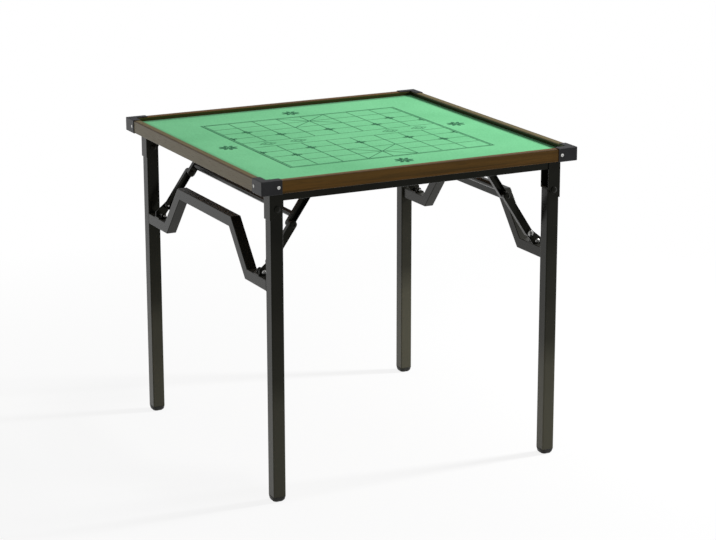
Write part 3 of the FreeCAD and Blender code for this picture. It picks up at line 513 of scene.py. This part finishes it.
# zinc-plated steel of the screws and of the bolts
steelLooks = {
    "screwSteel": {"bright": (0.66, 0.66, 0.65), "dull": (0.42, 0.42, 0.40), "rough": (0.22, 0.38)},
    "boltSteel": {"bright": (0.38, 0.38, 0.37), "dull": (0.17, 0.17, 0.16), "rough": (0.24, 0.40)},
}
# what both steels share
steelSurface = {
    "worn": (0.80, 0.80, 0.78),
    "grain": {"Fine Scale": 2200.0, "Cloud Scale": 160.0},
    "edges": {"Radius": 0.3 * mm, "Wear": 0.8, "Patch": 400.0},
    "bump": (0.02 * mm, 0.5),
    "shader": {"Metallic": 1.0},
}


def makeSteel(name):
    look = steelLooks[name]
    material, tree = startMaterial(name)
    grain = useGroup(tree, grainGroup, steelSurface["grain"])
    edges = useGroup(tree, edgeGroup, steelSurface["edges"])
    colour = mixColours(tree, edges["Mask"], shaded(tree, grain["Cloud"], look["dull"], look["bright"]),
                        steelSurface["worn"])
    normal = bumped(tree, grain["Fine"], *steelSurface["bump"], edges["Normal"])
    finishMaterial(tree, colour, varied(tree, grain["Cloud"], *look["rough"]), normal, steelSurface)
    return material


# wood of the board, seen from below
boardLook = {
    "dark": (0.200, 0.105, 0.048),
    "light": (0.340, 0.195, 0.095),
    "fleck": (0.110, 0.055, 0.026),
    "scale": (3.5, 75.0, 75.0),
    "fleckRange": (0.62, 0.75),
    "fleckStrength": 0.6,
    "edges": {"Radius": 0.6 * mm},
    "rough": (0.42, 0.58),
    "bump": (0.1 * mm, 0.3),
}


def makeBoardWood():
    material, tree = startMaterial("brownBoard")
    streaks = useGroup(tree, streakGroup, {"Vector": stretched(tree, boardLook["scale"])})
    edges = useGroup(tree, edgeGroup, boardLook["edges"])
    flecks = spread(tree, streaks["Pores"], *boardLook["fleckRange"], newHigh=boardLook["fleckStrength"])
    colour = shaded(tree, streaks["Streaks"], boardLook["dark"], boardLook["light"])
    colour = mixColours(tree, flecks, colour, boardLook["fleck"])
    finishMaterial(tree, colour, varied(tree, streaks["Streaks"], *boardLook["rough"]),
                   bumped(tree, streaks["Pores"], *boardLook["bump"], edges["Normal"]), boardLook)
    return material


felt = makeFelt()
ink = makeInk()
woodAlongX = makeWood("rimWoodAlongX")
woodAlongY = makeWood("rimWoodAlongY")
paint = makePaint()
capPlastic = makePlastic("capPlastic")
footPlastic = makePlastic("footPlastic")
screwSteel = makeSteel("screwSteel")
boltSteel = makeSteel("boltSteel")
boardWood = makeBoardWood()
print("materials made")


# finishes of the CAD nodes, also of those that get a stand-in further on
def finishOf(name):
    if name.startswith("rim_strip"):
        return woodAlongX if name.endswith(("front", "back")) else woodAlongY
    if name.startswith("corner_cap"):
        return capPlastic
    if name.startswith("foot_"):
        return footPlastic
    if name == "table_board":
        return boardWood
    if name == "felt_surface":
        return felt
    if name.endswith("screws"):
        return screwSteel
    if name.startswith(("mount_bolts", "link_bolts", "clamp_bolts")):
        return boltSteel
    return paint


for name, part in nodes.items():
    part.data.materials.clear()
    part.data.materials.append(finishOf(name))
print("finishes given")


# piece helpers
def toMesh(mesh, name):
    data = bpy.data.meshes.new(name)
    mesh.to_mesh(data)
    mesh.free()
    return data


def finishPiece(mesh, name, body, slotName, material, smoothUpTo=None):
    # edges that turn by fewer degrees than smoothUpTo are smooth, and without it all stay sharp
    if smoothUpTo is not None:
        mesh.normal_update()
        for face in mesh.faces:
            face.smooth = True
        for edge in mesh.edges:
            edge.smooth = len(edge.link_faces) == 2 and edge.calc_face_angle(0.0) < math.radians(smoothUpTo)
    piece = addObject(name, toMesh(mesh, name))
    piece.data.materials.append(material)
    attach(piece, body)
    return piece


def addBox(mesh, centre, size, turn=0.0):
    made = bmesh.ops.create_cube(mesh, size=1.0)["verts"]
    shape = Matrix.Translation(centre) @ Matrix.Rotation(turn, 4, "Z") @ Matrix.Diagonal((*size, 1.0))
    bmesh.ops.transform(mesh, matrix=shape, verts=made)
    return made


def spinProfile(mesh, profile, steps):
    # profile is a list of (radius, height) from axis to axis
    chain = [mesh.verts.new((radius, 0.0, height)) for radius, height in profile]
    edges = [mesh.edges.new(pair) for pair in zip(chain, chain[1:])]
    bmesh.ops.spin(mesh, geom=chain + edges, cent=(0, 0, 0), axis=(0, 0, 1), angle=math.tau, steps=steps,
                   use_merge=True)
    bmesh.ops.remove_doubles(mesh, verts=mesh.verts, dist=tiny)
    bmesh.ops.recalc_face_normals(mesh, faces=mesh.faces)


def raiseFaces(mesh, faces, height):
    grown = bmesh.ops.extrude_face_region(mesh, geom=faces)["geom"]
    raised = [item for item in grown if isinstance(item, bmesh.types.BMVert)]
    bmesh.ops.translate(mesh, vec=(0, 0, height), verts=raised)


def edgesOf(verts):
    # each edge once, in a fixed order
    return list(dict.fromkeys(edge for vert in verts for edge in vert.link_edges))


# baize, glued flat on the board and tucked down along the rim
feltSheet = {
    "cells": 150,
    "crowding": 1.15,
    "tuck": 0.6 * mm,
    "tuckWidth": 2.5 * mm,
    "ripple": 0.03 * mm,
    "rippleScale": 9,
    "thickness": 1.2 * mm,
}


def crowd(value):
    # from -1 to 1, rows close up towards both ends
    return math.copysign(1 - (1 - abs(value)) ** feltSheet["crowding"], value)


def makeFeltSheet():
    low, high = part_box("felt_surface")
    half = (high - low) / 2
    top = high.z
    mesh = bmesh.new()
    bmesh.ops.create_grid(mesh, x_segments=feltSheet["cells"], y_segments=feltSheet["cells"], size=1.0)
    for vert in mesh.verts:
        x, y = crowd(vert.co.x), crowd(vert.co.y)
        edge = min((1 - abs(x)) * half.x, (1 - abs(y)) * half.y)
        tuck = max(0.0, 1 - edge / feltSheet["tuckWidth"]) ** 2 * feltSheet["tuck"]
        wave = noise.noise((x * feltSheet["rippleScale"], y * feltSheet["rippleScale"], 0.0))
        vert.co = (x * half.x, y * half.y, top - tuck + (wave - 1) * feltSheet["ripple"])
    bmesh.ops.recalc_face_normals(mesh, faces=mesh.faces)
    bmesh.ops.solidify(mesh, geom=mesh.faces[:], thickness=feltSheet["thickness"])
    bmesh.ops.recalc_face_normals(mesh, faces=mesh.faces)
    piece = finishPiece(mesh, "baizeSheet", "tabletop", "felt", felt, smoothUpTo=180)
    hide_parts("felt_surface")
    return top


feltTop = makeFeltSheet()
print("baize laid")


# the printed board: a double border, files and ranks with a river between them, two palaces, place marks
printed = {
    "fileStep": 64.0 * mm,
    "rankStep": 55.5 * mm,
    "files": 8,
    "ranks": 9,
    "palaceRanks": 2,
    "borderGap": 5.5 * mm,
    "lineWidth": 2.3 * mm,
    "borderWidth": 3.4 * mm,
    "marks": {2.5: (-3, 3), 1.5: (-4, -2, 0, 2, 4)},  # rows and their columns, counted from the middle
    "markGap": 3.2 * mm,
    "markLength": 9.0 * mm,
    "depth": 0.3 * mm,
    "proud": 0.10 * mm,
    "layerStep": 0.03 * mm,
}


def drawLine(mesh, start, stop, width, layer):
    # layers differ in height so that crossing lines never share a face
    run = Vector((stop[0] - start[0], stop[1] - start[1], 0.0))
    top = feltTop + printed["proud"] + printed["layerStep"] * layer
    centre = ((start[0] + stop[0]) / 2, (start[1] + stop[1]) / 2, top - printed["depth"] / 2)
    addBox(mesh, centre, (run.length + width, width, printed["depth"]), math.atan2(run.y, run.x))


def drawFourSides(mesh, corners, width):
    for index, corner in enumerate(corners):
        drawLine(mesh, corner, corners[(index + 1) % 4], width, index % 2)


def drawBorder(mesh, halfX, halfY, width):
    drawFourSides(mesh, [(-halfX, -halfY), (halfX, -halfY), (halfX, halfY), (-halfX, halfY)], width)


def drawMark(mesh, column, row):
    # small angles round a crossing, left out where they would fall outside the board
    x, y = column * printed["fileStep"], row * printed["rankStep"]
    for sideX in (-1, 1):
        if column * sideX >= printed["files"] / 2:
            continue
        for sideY in (-1, 1):
            near = (x + sideX * printed["markGap"], y + sideY * printed["markGap"])
            farX = (near[0] + sideX * printed["markLength"], near[1])
            farY = (near[0], near[1] + sideY * printed["markLength"])
            drawLine(mesh, near, farX, printed["lineWidth"], 2)
            drawLine(mesh, near, farY, printed["lineWidth"], 3)


def makePrintedLines():
    mesh = bmesh.new()
    width, gap = printed["lineWidth"], printed["borderGap"]
    halfX = printed["files"] / 2 * printed["fileStep"]
    halfY = printed["ranks"] / 2 * printed["rankStep"]
    river = printed["rankStep"] / 2
    drawBorder(mesh, halfX + gap, halfY + gap, printed["borderWidth"])
    drawBorder(mesh, halfX, halfY, width)
    for rank in range(1, printed["ranks"]):
        y = -halfY + rank * printed["rankStep"]
        drawLine(mesh, (-halfX, y), (halfX, y), width, 0)
    for file in range(1, printed["files"]):
        x = -halfX + file * printed["fileStep"]
        for side in (-1, 1):
            drawLine(mesh, (x, side * river), (x, side * halfY), width, 1)
    for side in (-1, 1):
        inner, outer = side * (halfY - printed["palaceRanks"] * printed["rankStep"]), side * halfY
        reach = printed["fileStep"]
        drawLine(mesh, (-reach, outer), (reach, inner), width, 2)
        drawLine(mesh, (reach, outer), (-reach, inner), width, 3)
        for row, columns in printed["marks"].items():
            for column in columns:
                drawMark(mesh, column, side * row)
    finishPiece(mesh, "printedBoardLines", "tabletop", "felt", ink)


# four plain rosettes outside the border, one for each player
rosette = {
    "out": 302.0 * mm,
    "petals": 8,
    "petalLength": 18.5 * mm,
    "petalWidth": 8.5 * mm,
    "petalStart": 5.0 * mm,
    "petalSteps": 20,
    "eye": 2.2 * mm,
    "eyeWidth": 2.4 * mm,
    "eyeSteps": 40,
    "proud": 0.12 * mm,
}


def drawPetal(mesh, centre, angle):
    made = bmesh.ops.create_circle(mesh, cap_ends=True, segments=rosette["petalSteps"], radius=1.0)["verts"]
    length, width = rosette["petalLength"], rosette["petalWidth"]
    shape = (Matrix.Translation(centre) @ Matrix.Rotation(angle, 4, "Z")
             @ Matrix.Translation((rosette["petalStart"] + length / 2, 0, 0))
             @ Matrix.Diagonal((length / 2, width / 2, 1, 1)))
    bmesh.ops.transform(mesh, matrix=shape, verts=made)
    raiseFaces(mesh, made[0].link_faces[:], printed["depth"])


def drawEye(mesh, centre):
    rings = []
    for radius in (rosette["eye"] - rosette["eyeWidth"] / 2, rosette["eye"] + rosette["eyeWidth"] / 2):
        made = bmesh.ops.create_circle(mesh, segments=rosette["eyeSteps"], radius=radius)["verts"]
        bmesh.ops.translate(mesh, vec=centre, verts=made)
        rings += edgesOf(made)
    raiseFaces(mesh, bmesh.ops.bridge_loops(mesh, edges=rings)["faces"], printed["depth"])


def makeRosettes():
    mesh = bmesh.new()
    bottom = feltTop + rosette["proud"] - printed["depth"]
    for x, y in ((-1, 0), (1, 0), (0, -1), (0, 1)):
        centre = Vector((x * rosette["out"], y * rosette["out"], bottom))
        for petal in range(rosette["petals"]):
            drawPetal(mesh, centre, math.tau * petal / rosette["petals"])
        drawEye(mesh, centre)
    bmesh.ops.recalc_face_normals(mesh, faces=mesh.faces)
    finishPiece(mesh, "printedRosettes", "tabletop", "felt", ink)


# plain lozenges, two on each half of the river
lozenge = {
    "places": (-200.0 * mm, -122.0 * mm, 122.0 * mm, 200.0 * mm),
    "halfWidth": 20.0 * mm,
    "halfHeight": 16.0 * mm,
    "inner": 0.5,
    "line": 2.0 * mm,
}


def makeLozenges():
    mesh = bmesh.new()
    for x in lozenge["places"]:
        for share in (1.0, lozenge["inner"]):
            reachX, reachY = lozenge["halfWidth"] * share, lozenge["halfHeight"] * share
            corners = [(x + reachX, 0.0), (x, reachY), (x - reachX, 0.0), (x, -reachY)]
            drawFourSides(mesh, corners, lozenge["line"])
    finishPiece(mesh, "printedLozenges", "tabletop", "felt", ink)


makePrintedLines()
makeRosettes()
makeLozenges()
print("board printed")


# fasteners: each CAD group is split into its separate solids, and each solid gets a detailed stand-in
def looseSolids(nodeName):
    mesh = bmesh.new()
    mesh.from_mesh(nodes[nodeName].data)
    bmesh.ops.remove_doubles(mesh, verts=mesh.verts, dist=tiny)
    waiting = set(mesh.verts)
    boxes = []
    while waiting:
        queue = [waiting.pop()]
        solid = []
        while queue:
            vert = queue.pop()
            solid.append(vert.co.copy())
            for edge in vert.link_edges:
                other = edge.other_vert(vert)
                if other in waiting:
                    waiting.remove(other)
                    queue.append(other)
        low = Vector([min(point[axis] for point in solid) for axis in range(3)])
        high = Vector([max(point[axis] for point in solid) for axis in range(3)])
        boxes.append((low, high))
    mesh.free()
    # ordered by place, to a tenth of a millimetre
    return sorted(boxes, key=lambda box: tuple(round(value, 4) for value in box[0]))


def combine(solid, tool, operation):
    # Boolean of two meshes, whose own pieces may cross
    owner, other = addObject("solid", solid), addObject("tool", tool)
    modifier = owner.modifiers.new("combine", "BOOLEAN")
    modifier.operation = operation
    modifier.solver = "EXACT"
    modifier.use_self = True
    modifier.object = other
    combined = bpy.data.meshes.new_from_object(owner.evaluated_get(bpy.context.evaluated_depsgraph_get()))
    for item in (owner, other):
        bpy.data.objects.remove(item)
    return combined


# heads of screws and bolts: sizes are shares of the head's radius or height, the tip's of the shank's radius
headShape = {
    "rim": 0.40,
    "steps": 28,
    "domeRows": 5,
    "crossReach": 0.62,
    "crossWidth": 0.20,
    "crossDepth": 0.62,
    "crossTaper": 0.55,
    "hexReach": 0.42,
    "hexDepth": 0.55,
    "tip": 0.25,
    "smoothUpTo": 35,
}


def domeProfile(radius, height, shankRadius, shankLength):
    # a round head sitting on height 0 with its shank below it
    rise = height * (1 - headShape["rim"])
    sphere = (radius ** 2 + rise ** 2) / (2 * rise)
    widest = math.asin(radius / sphere)
    rows = headShape["domeRows"]
    dome = [(sphere * math.sin(widest * row / rows), height - sphere * (1 - math.cos(widest * row / rows)))
            for row in range(rows + 1)]
    tip = shankRadius * headShape["tip"]
    return dome + [(radius, 0.0), (shankRadius, 0.0), (shankRadius, tip - shankLength),
                   (shankRadius - tip, -shankLength), (0.0, -shankLength)]


def crossTool(radius, height):
    mesh = bmesh.new()
    reach, width = radius * headShape["crossReach"], radius * headShape["crossWidth"]
    depth, taper = height * headShape["crossDepth"], headShape["crossTaper"]
    for turn in (0.0, math.pi / 2):
        made = addBox(mesh, (0, 0, height), (2 * reach, width, 2 * depth), turn)
        bmesh.ops.scale(mesh, vec=(taper, taper, 1.0), verts=[vert for vert in made if vert.co.z < height])
    return toMesh(mesh, "cross")


def hexTool(radius, height):
    mesh = bmesh.new()
    reach, depth = radius * headShape["hexReach"], height * headShape["hexDepth"]
    bmesh.ops.create_cone(mesh, cap_ends=True, segments=6, radius1=reach, radius2=reach, depth=2 * depth,
                          matrix=Matrix.Translation((0, 0, height)))
    return toMesh(mesh, "hexSocket")


def makeHead(radius, height, shankRadius, shankLength, recessTool=None):
    mesh = bmesh.new()
    spinProfile(mesh, domeProfile(radius, height, shankRadius, shankLength), headShape["steps"])
    solid = toMesh(mesh, "head")
    if recessTool is None:
        return solid
    return combine(solid, recessTool(radius, height), "DIFFERENCE")


nutShape = {"boreSteps": 24, "coneSteps": 36}


def makeNut(across, height, bore):
    mesh = bmesh.new()
    corner = across / math.sqrt(3)
    edges = []
    for radius, segments in ((corner, 6), (bore, nutShape["boreSteps"])):
        edges += edgesOf(bmesh.ops.create_circle(mesh, segments=segments, radius=radius)["verts"])
    filled = bmesh.ops.triangle_fill(mesh, use_beauty=True, edges=edges)["geom"]
    raiseFaces(mesh, [item for item in filled if isinstance(item, bmesh.types.BMFace)], height)
    bmesh.ops.recalc_face_normals(mesh, faces=mesh.faces)
    # a cone takes the six corners off, as on a turned nut
    cone = bmesh.new()
    bevel = corner - across / 2
    spinProfile(cone, [(0.0, -bevel), (across / 2 - bevel, -bevel), (corner + bevel, height / 2),
                       (across / 2 - bevel, height + bevel), (0.0, height + bevel)], nutShape["coneSteps"])
    return combine(toMesh(mesh, "nut"), toMesh(cone, "nutCone"), "INTERSECT")


def addCopy(mesh, template, seat, outward, twist=0.0):
    copied = template.copy()
    turn = Vector((0, 0, 1)).rotation_difference(outward).to_matrix().to_4x4()
    copied.transform(Matrix.Translation(seat) @ turn @ Matrix.Rotation(twist, 4, "Z"))
    mesh.from_mesh(copied)
    bpy.data.meshes.remove(copied)


woodScrew = {"head": 3.8 * mm, "headHeight": 1.7 * mm, "shank": 2.0 * mm, "twist": 0.35, "twistStep": 0.9}


def makeWoodScrews(nodeName, pieceName, direction):
    # the screws of one group are equally long
    solids = looseSolids(nodeName)
    headHeight = woodScrew["headHeight"]
    whole = max(solids[0][1] - solids[0][0])
    template = makeHead(woodScrew["head"], headHeight, woodScrew["shank"], whole - headHeight, crossTool)
    mesh = bmesh.new()
    for index, (low, high) in enumerate(solids):
        size, centre = high - low, (low + high) / 2
        outward = direction(centre, size)
        seat = centre + outward * (max(size) / 2 - headHeight)
        addCopy(mesh, template, seat, outward, woodScrew["twist"] + woodScrew["twistStep"] * index)
    piece = finishPiece(mesh, pieceName, "tabletop", "screw_steel", screwSteel, headShape["smoothUpTo"])
    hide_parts(nodeName)


def outOfRim(centre, size):
    if size.x > size.y:
        return Vector((math.copysign(1, centre.x), 0, 0))
    return Vector((0, math.copysign(1, centre.y), 0))


def downward(centre, size):
    return Vector((0, 0, -1))


makeWoodScrews("cap_screws", "capScrewHeads", outOfRim)
makeWoodScrews("rail_screws", "railScrewHeads", downward)
makeWoodScrews("mount_screws", "mountScrewHeads", downward)

braceBolt = {
    "shank": 3.0 * mm,
    "pinShank": 4.0 * mm,
    "headHeight": 4.0 * mm,
    "twist": 0.2,
    "nutAcross": 10.0 * mm,
    "nutLongest": 6.0 * mm,
    "nutUneven": 0.2 * mm,
}


def isNut(size):
    # nuts are short, and a hexagon isn't as high as it is wide
    return size.y < braceBolt["nutLongest"] and abs(size.z - size.x) > braceBolt["nutUneven"]


def makeBolts(nodeName, body, headSide, recessTool=hexTool, painted=False):
    # headSide is 1 where the heads are on the outside of the table, -1 on the inside, 0 for both ends
    headHeight = braceBolt["headHeight"]
    mesh = bmesh.new()
    for low, high in looseSolids(nodeName):
        size, centre = high - low, (low + high) / 2
        if isNut(size):
            nut = makeNut(braceBolt["nutAcross"], size.y, braceBolt["shank"])
            addCopy(mesh, nut, Vector((centre.x, low.y, centre.z)), Vector((0, 1, 0)))
            continue
        seatOut = size.y / 2 - headHeight
        signs, shank, length = (1, -1), braceBolt["pinShank"], seatOut
        if headSide:
            signs = (headSide * math.copysign(1, centre.y),)
            shank, length = braceBolt["shank"], size.y - headHeight
        for sign in signs:
            outward = Vector((0, sign, 0))
            head = makeHead(size.x / 2, headHeight, shank, length, recessTool)
            addCopy(mesh, head, centre + outward * seatOut, outward, braceBolt["twist"])
    finish = ("black_paint", paint) if painted else ("bolt_steel", boltSteel)
    piece = finishPiece(mesh, nodeName.replace("_", "") + "Detailed", body, *finish, headShape["smoothUpTo"])
    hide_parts(nodeName)


for side in sides:
    makeBolts(f"pivot_pins_{side}", "tabletop", 0, recessTool=None, painted=True)
    makeBolts(f"mount_bolts_{side}", "tabletop", -1)
    makeBolts(f"link_bolts_{side}", f"{side}_leg_frame", 1)
    makeBolts(f"clamp_bolts_{side}", f"{side}_leg_frame", 1)
    makeBolts(f"knee_bolts_{side}", f"{side}_arms", -1, painted=True)
    makeBolts(f"knee_nuts_{side}", f"{side}_links", 1, painted=True)
print("fasteners made")


# feet: plastic blocks, round-cornered at the tube and round on the floor, with a plug up the tube
footShape = {
    "height": 12.0 * mm,
    "corner": 8.0 * mm,
    "cornerSteps": 8,
    "tread": 5.5 * mm,
    "treadSteps": 7,
    "rim": 0.6 * mm,
    "rimSteps": 3,
    "roundRadius": 16.0 * mm,
    "roundFrom": 10.5 * mm,
    "roundTo": 5.0 * mm,
    "padInset": 3.0 * mm,
    "padDepth": 0.7 * mm,
    "plugHalf": 13.6 * mm,
    "plugCorner": 1.0 * mm,
    "plugSteps": 2,
    "smoothUpTo": 32,
}


def bevelEdges(mesh, edges, offset, segments):
    bmesh.ops.bevel(mesh, geom=edges, offset=offset, segments=segments, affect="EDGES", profile=0.5,
                    material=-1)


def bevelUprights(mesh, verts, offset, segments):
    uprights = [edge for edge in edgesOf(verts) if abs(edge.verts[0].co.z - edge.verts[1].co.z) > tiny]
    bevelEdges(mesh, uprights, offset, segments)


def edgesAtLevel(mesh, level):
    return [edge for edge in mesh.edges if all(abs(vert.co.z - level) < tiny for vert in edge.verts)]


def roundOff(verts, centre):
    # corners further out than the round tread are drawn in, the more the lower they are
    for vert in verts:
        reach = Vector((vert.co.x - centre.x, vert.co.y - centre.y))
        share = (footShape["roundFrom"] - vert.co.z) / (footShape["roundFrom"] - footShape["roundTo"])
        excess = reach.length - footShape["roundRadius"]
        if excess > 0 and share > 0:
            reach *= 1 - excess * min(1.0, share) / reach.length
            vert.co.x, vert.co.y = centre.x + reach.x, centre.y + reach.y


def makeFoot(nodeName, body):
    low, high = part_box(nodeName)
    centre, size = (low + high) / 2, high - low
    height, plugWidth = footShape["height"], 2 * footShape["plugHalf"]
    mesh = bmesh.new()
    block = addBox(mesh, (centre.x, centre.y, low.z + height / 2), (size.x, size.y, height))
    bevelUprights(mesh, block, footShape["corner"], footShape["cornerSteps"])
    # a ring of edges where the block begins to turn round
    bmesh.ops.bisect_plane(mesh, geom=mesh.verts[:] + mesh.edges[:] + mesh.faces[:],
                           plane_co=(0, 0, low.z + footShape["roundFrom"]), plane_no=(0, 0, 1))
    roundOff(mesh.verts, centre)
    bevelEdges(mesh, edgesAtLevel(mesh, low.z), footShape["tread"], footShape["treadSteps"])
    bevelEdges(mesh, edgesAtLevel(mesh, low.z + height), footShape["rim"], footShape["rimSteps"])
    sole = [face for face in mesh.faces if face.calc_center_median().z < low.z + tiny]
    bmesh.ops.inset_region(mesh, faces=sole, thickness=footShape["padInset"])
    bmesh.ops.inset_region(mesh, faces=sole, thickness=footShape["padDepth"], depth=-footShape["padDepth"])
    plug = addBox(mesh, (centre.x, centre.y, (low.z + height + high.z) / 2),
                  (plugWidth, plugWidth, size.z - height))
    bevelUprights(mesh, plug, footShape["plugCorner"], footShape["plugSteps"])
    piece = finishPiece(mesh, nodeName.replace("_", "") + "Moulded", body, "foot_plastic", footPlastic,
                        footShape["smoothUpTo"])
    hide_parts(nodeName)


for side in sides:
    for end in ends:
        makeFoot(f"foot_{end}_{side}", f"{side}_leg_frame")
print("feet made")


# weld beads where each crossbar meets its legs
weld = {
    "bead": 1.5 * mm,
    "beadSegments": 8,
    "beadRings": 6,
    "pitch": 1.6 * mm,
    "fewest": 2,
    "flat": 0.75,
    "wobble": 0.12,
    "wobbleStep": 2.3,
    "barSize": 25.0 * mm,
    "inset": 1.2 * mm,
}


def addBeads(mesh, start, stop):
    count = max(weld["fewest"], round((stop - start).length / weld["pitch"]))
    for index in range(count + 1):
        radius = weld["bead"] * (1 + weld["wobble"] * math.sin(index * weld["wobbleStep"]))
        made = bmesh.ops.create_uvsphere(mesh, u_segments=weld["beadSegments"], v_segments=weld["beadRings"],
                                         radius=radius)["verts"]
        bmesh.ops.scale(mesh, vec=(weld["flat"], 1.0, weld["flat"]), verts=made)
        bmesh.ops.translate(mesh, vec=start.lerp(stop, index / count), verts=made)


def makeWelds(side):
    # along the bar's top, its inner face and its bottom, at both ends
    low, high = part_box(f"crossbar_{side}")
    outerX, innerX = (low.x + weld["inset"], high.x) if side == "left" else (high.x - weld["inset"], low.x)
    barTop = low.z + weld["barSize"]
    mesh = bmesh.new()
    for y in (low.y, high.y):
        corners = [Vector((x, y, z)) for x, z in ((outerX, barTop), (innerX, barTop), (innerX, low.z),
                                                  (outerX, low.z))]
        for start, stop in zip(corners, corners[1:]):
            addBeads(mesh, start, stop)
    finishPiece(mesh, f"{side}CrossbarWelds", f"{side}_leg_frame", "black_paint", paint, smoothUpTo=180)


for side in sides:
    makeWelds(side)
print("welds laid")


# studio: white all round, with a floor that keeps the table's shadow
def seenDirectly(tree):
    # 1 where the camera looks, also by way of a reflection or through something clear
    path = addNode(tree, "ShaderNodeLightPath").outputs
    seen = compute(tree, "MAXIMUM", path["Is Camera Ray"], path["Is Glossy Ray"])
    return compute(tree, "MAXIMUM", seen, path["Is Transmission Ray"])


floorLook = {
    "size": 30.0,
    "albedo": (0.90, 0.90, 0.90),
    "glow": (1.0, 1.0, 1.0),
    "lift": 0.86,
    "fade": (0.7, 2.0),
}


def makeFloor():
    mesh = bmesh.new()
    bmesh.ops.create_grid(mesh, x_segments=1, y_segments=1, size=floorLook["size"])
    floor = addObject("studioFloor", toMesh(mesh, "studioFloor"))
    material, tree = startMaterial("studioFloor")
    matt = addNode(tree, "ShaderNodeBsdfDiffuse", {"Color": floorLook["albedo"]})
    white = addNode(tree, "ShaderNodeEmission", {"Color": floorLook["glow"]})
    distance = addNode(tree, "ShaderNodeVectorMath", {0: objectPlace(tree)}, operation="LENGTH")
    fade = spread(tree, distance.outputs["Value"], *floorLook["fade"], newLow=floorLook["lift"])
    share = compute(tree, "MULTIPLY", seenDirectly(tree), fade, clamp=True)
    surface = mixShaders(tree, share, matt.outputs[0], white.outputs[0])
    # from below, the floor is clear
    clear = addNode(tree, "ShaderNodeBsdfTransparent")
    geometry = addNode(tree, "ShaderNodeNewGeometry")
    oneSided = mixShaders(tree, geometry.outputs["Backfacing"], surface, clear.outputs[0])
    addNode(tree, "ShaderNodeOutputMaterial", {"Surface": oneSided})
    floor.data.materials.append(material)


worldLook = {"colour": (1.0, 1.0, 1.0), "ambient": 0.27}


def makeWorld():
    world = bpy.data.worlds.new("studio")
    bpy.context.scene.world = world
    tree = emptyTree(world)
    strength = spread(tree, seenDirectly(tree), 0.0, 1.0, newLow=worldLook["ambient"])
    background = addNode(tree, "ShaderNodeBackground", {"Color": worldLook["colour"], "Strength": strength})
    addNode(tree, "ShaderNodeOutputWorld", {"Surface": background.outputs[0]})


lamps = {
    "overhead": {"place": (0.4, 0.4, 3.2), "aim": (0.0, 0.0, 0.5), "size": 2.4, "power": 6.0},
    "rightKey": {"place": (2.8, -0.5, 2.0), "aim": (0.0, 0.0, 0.7), "size": 0.4, "power": 132.0},
}


def makeLamps():
    for name, lamp in lamps.items():
        data = bpy.data.lights.new(name, "AREA")
        data.shape = "SQUARE"
        data.size = lamp["size"]
        data.energy = lamp["power"]
        aim = Vector(lamp["aim"]) - Vector(lamp["place"])
        turn = aim.to_track_quat("-Z", "Y").to_matrix().to_4x4()
        addObject(name, data).matrix_world = Matrix.Translation(lamp["place"]) @ turn


makeFloor()
makeWorld()
makeLamps()
bpy.context.scene.view_settings.view_transform = "Standard"
print("studio lit")
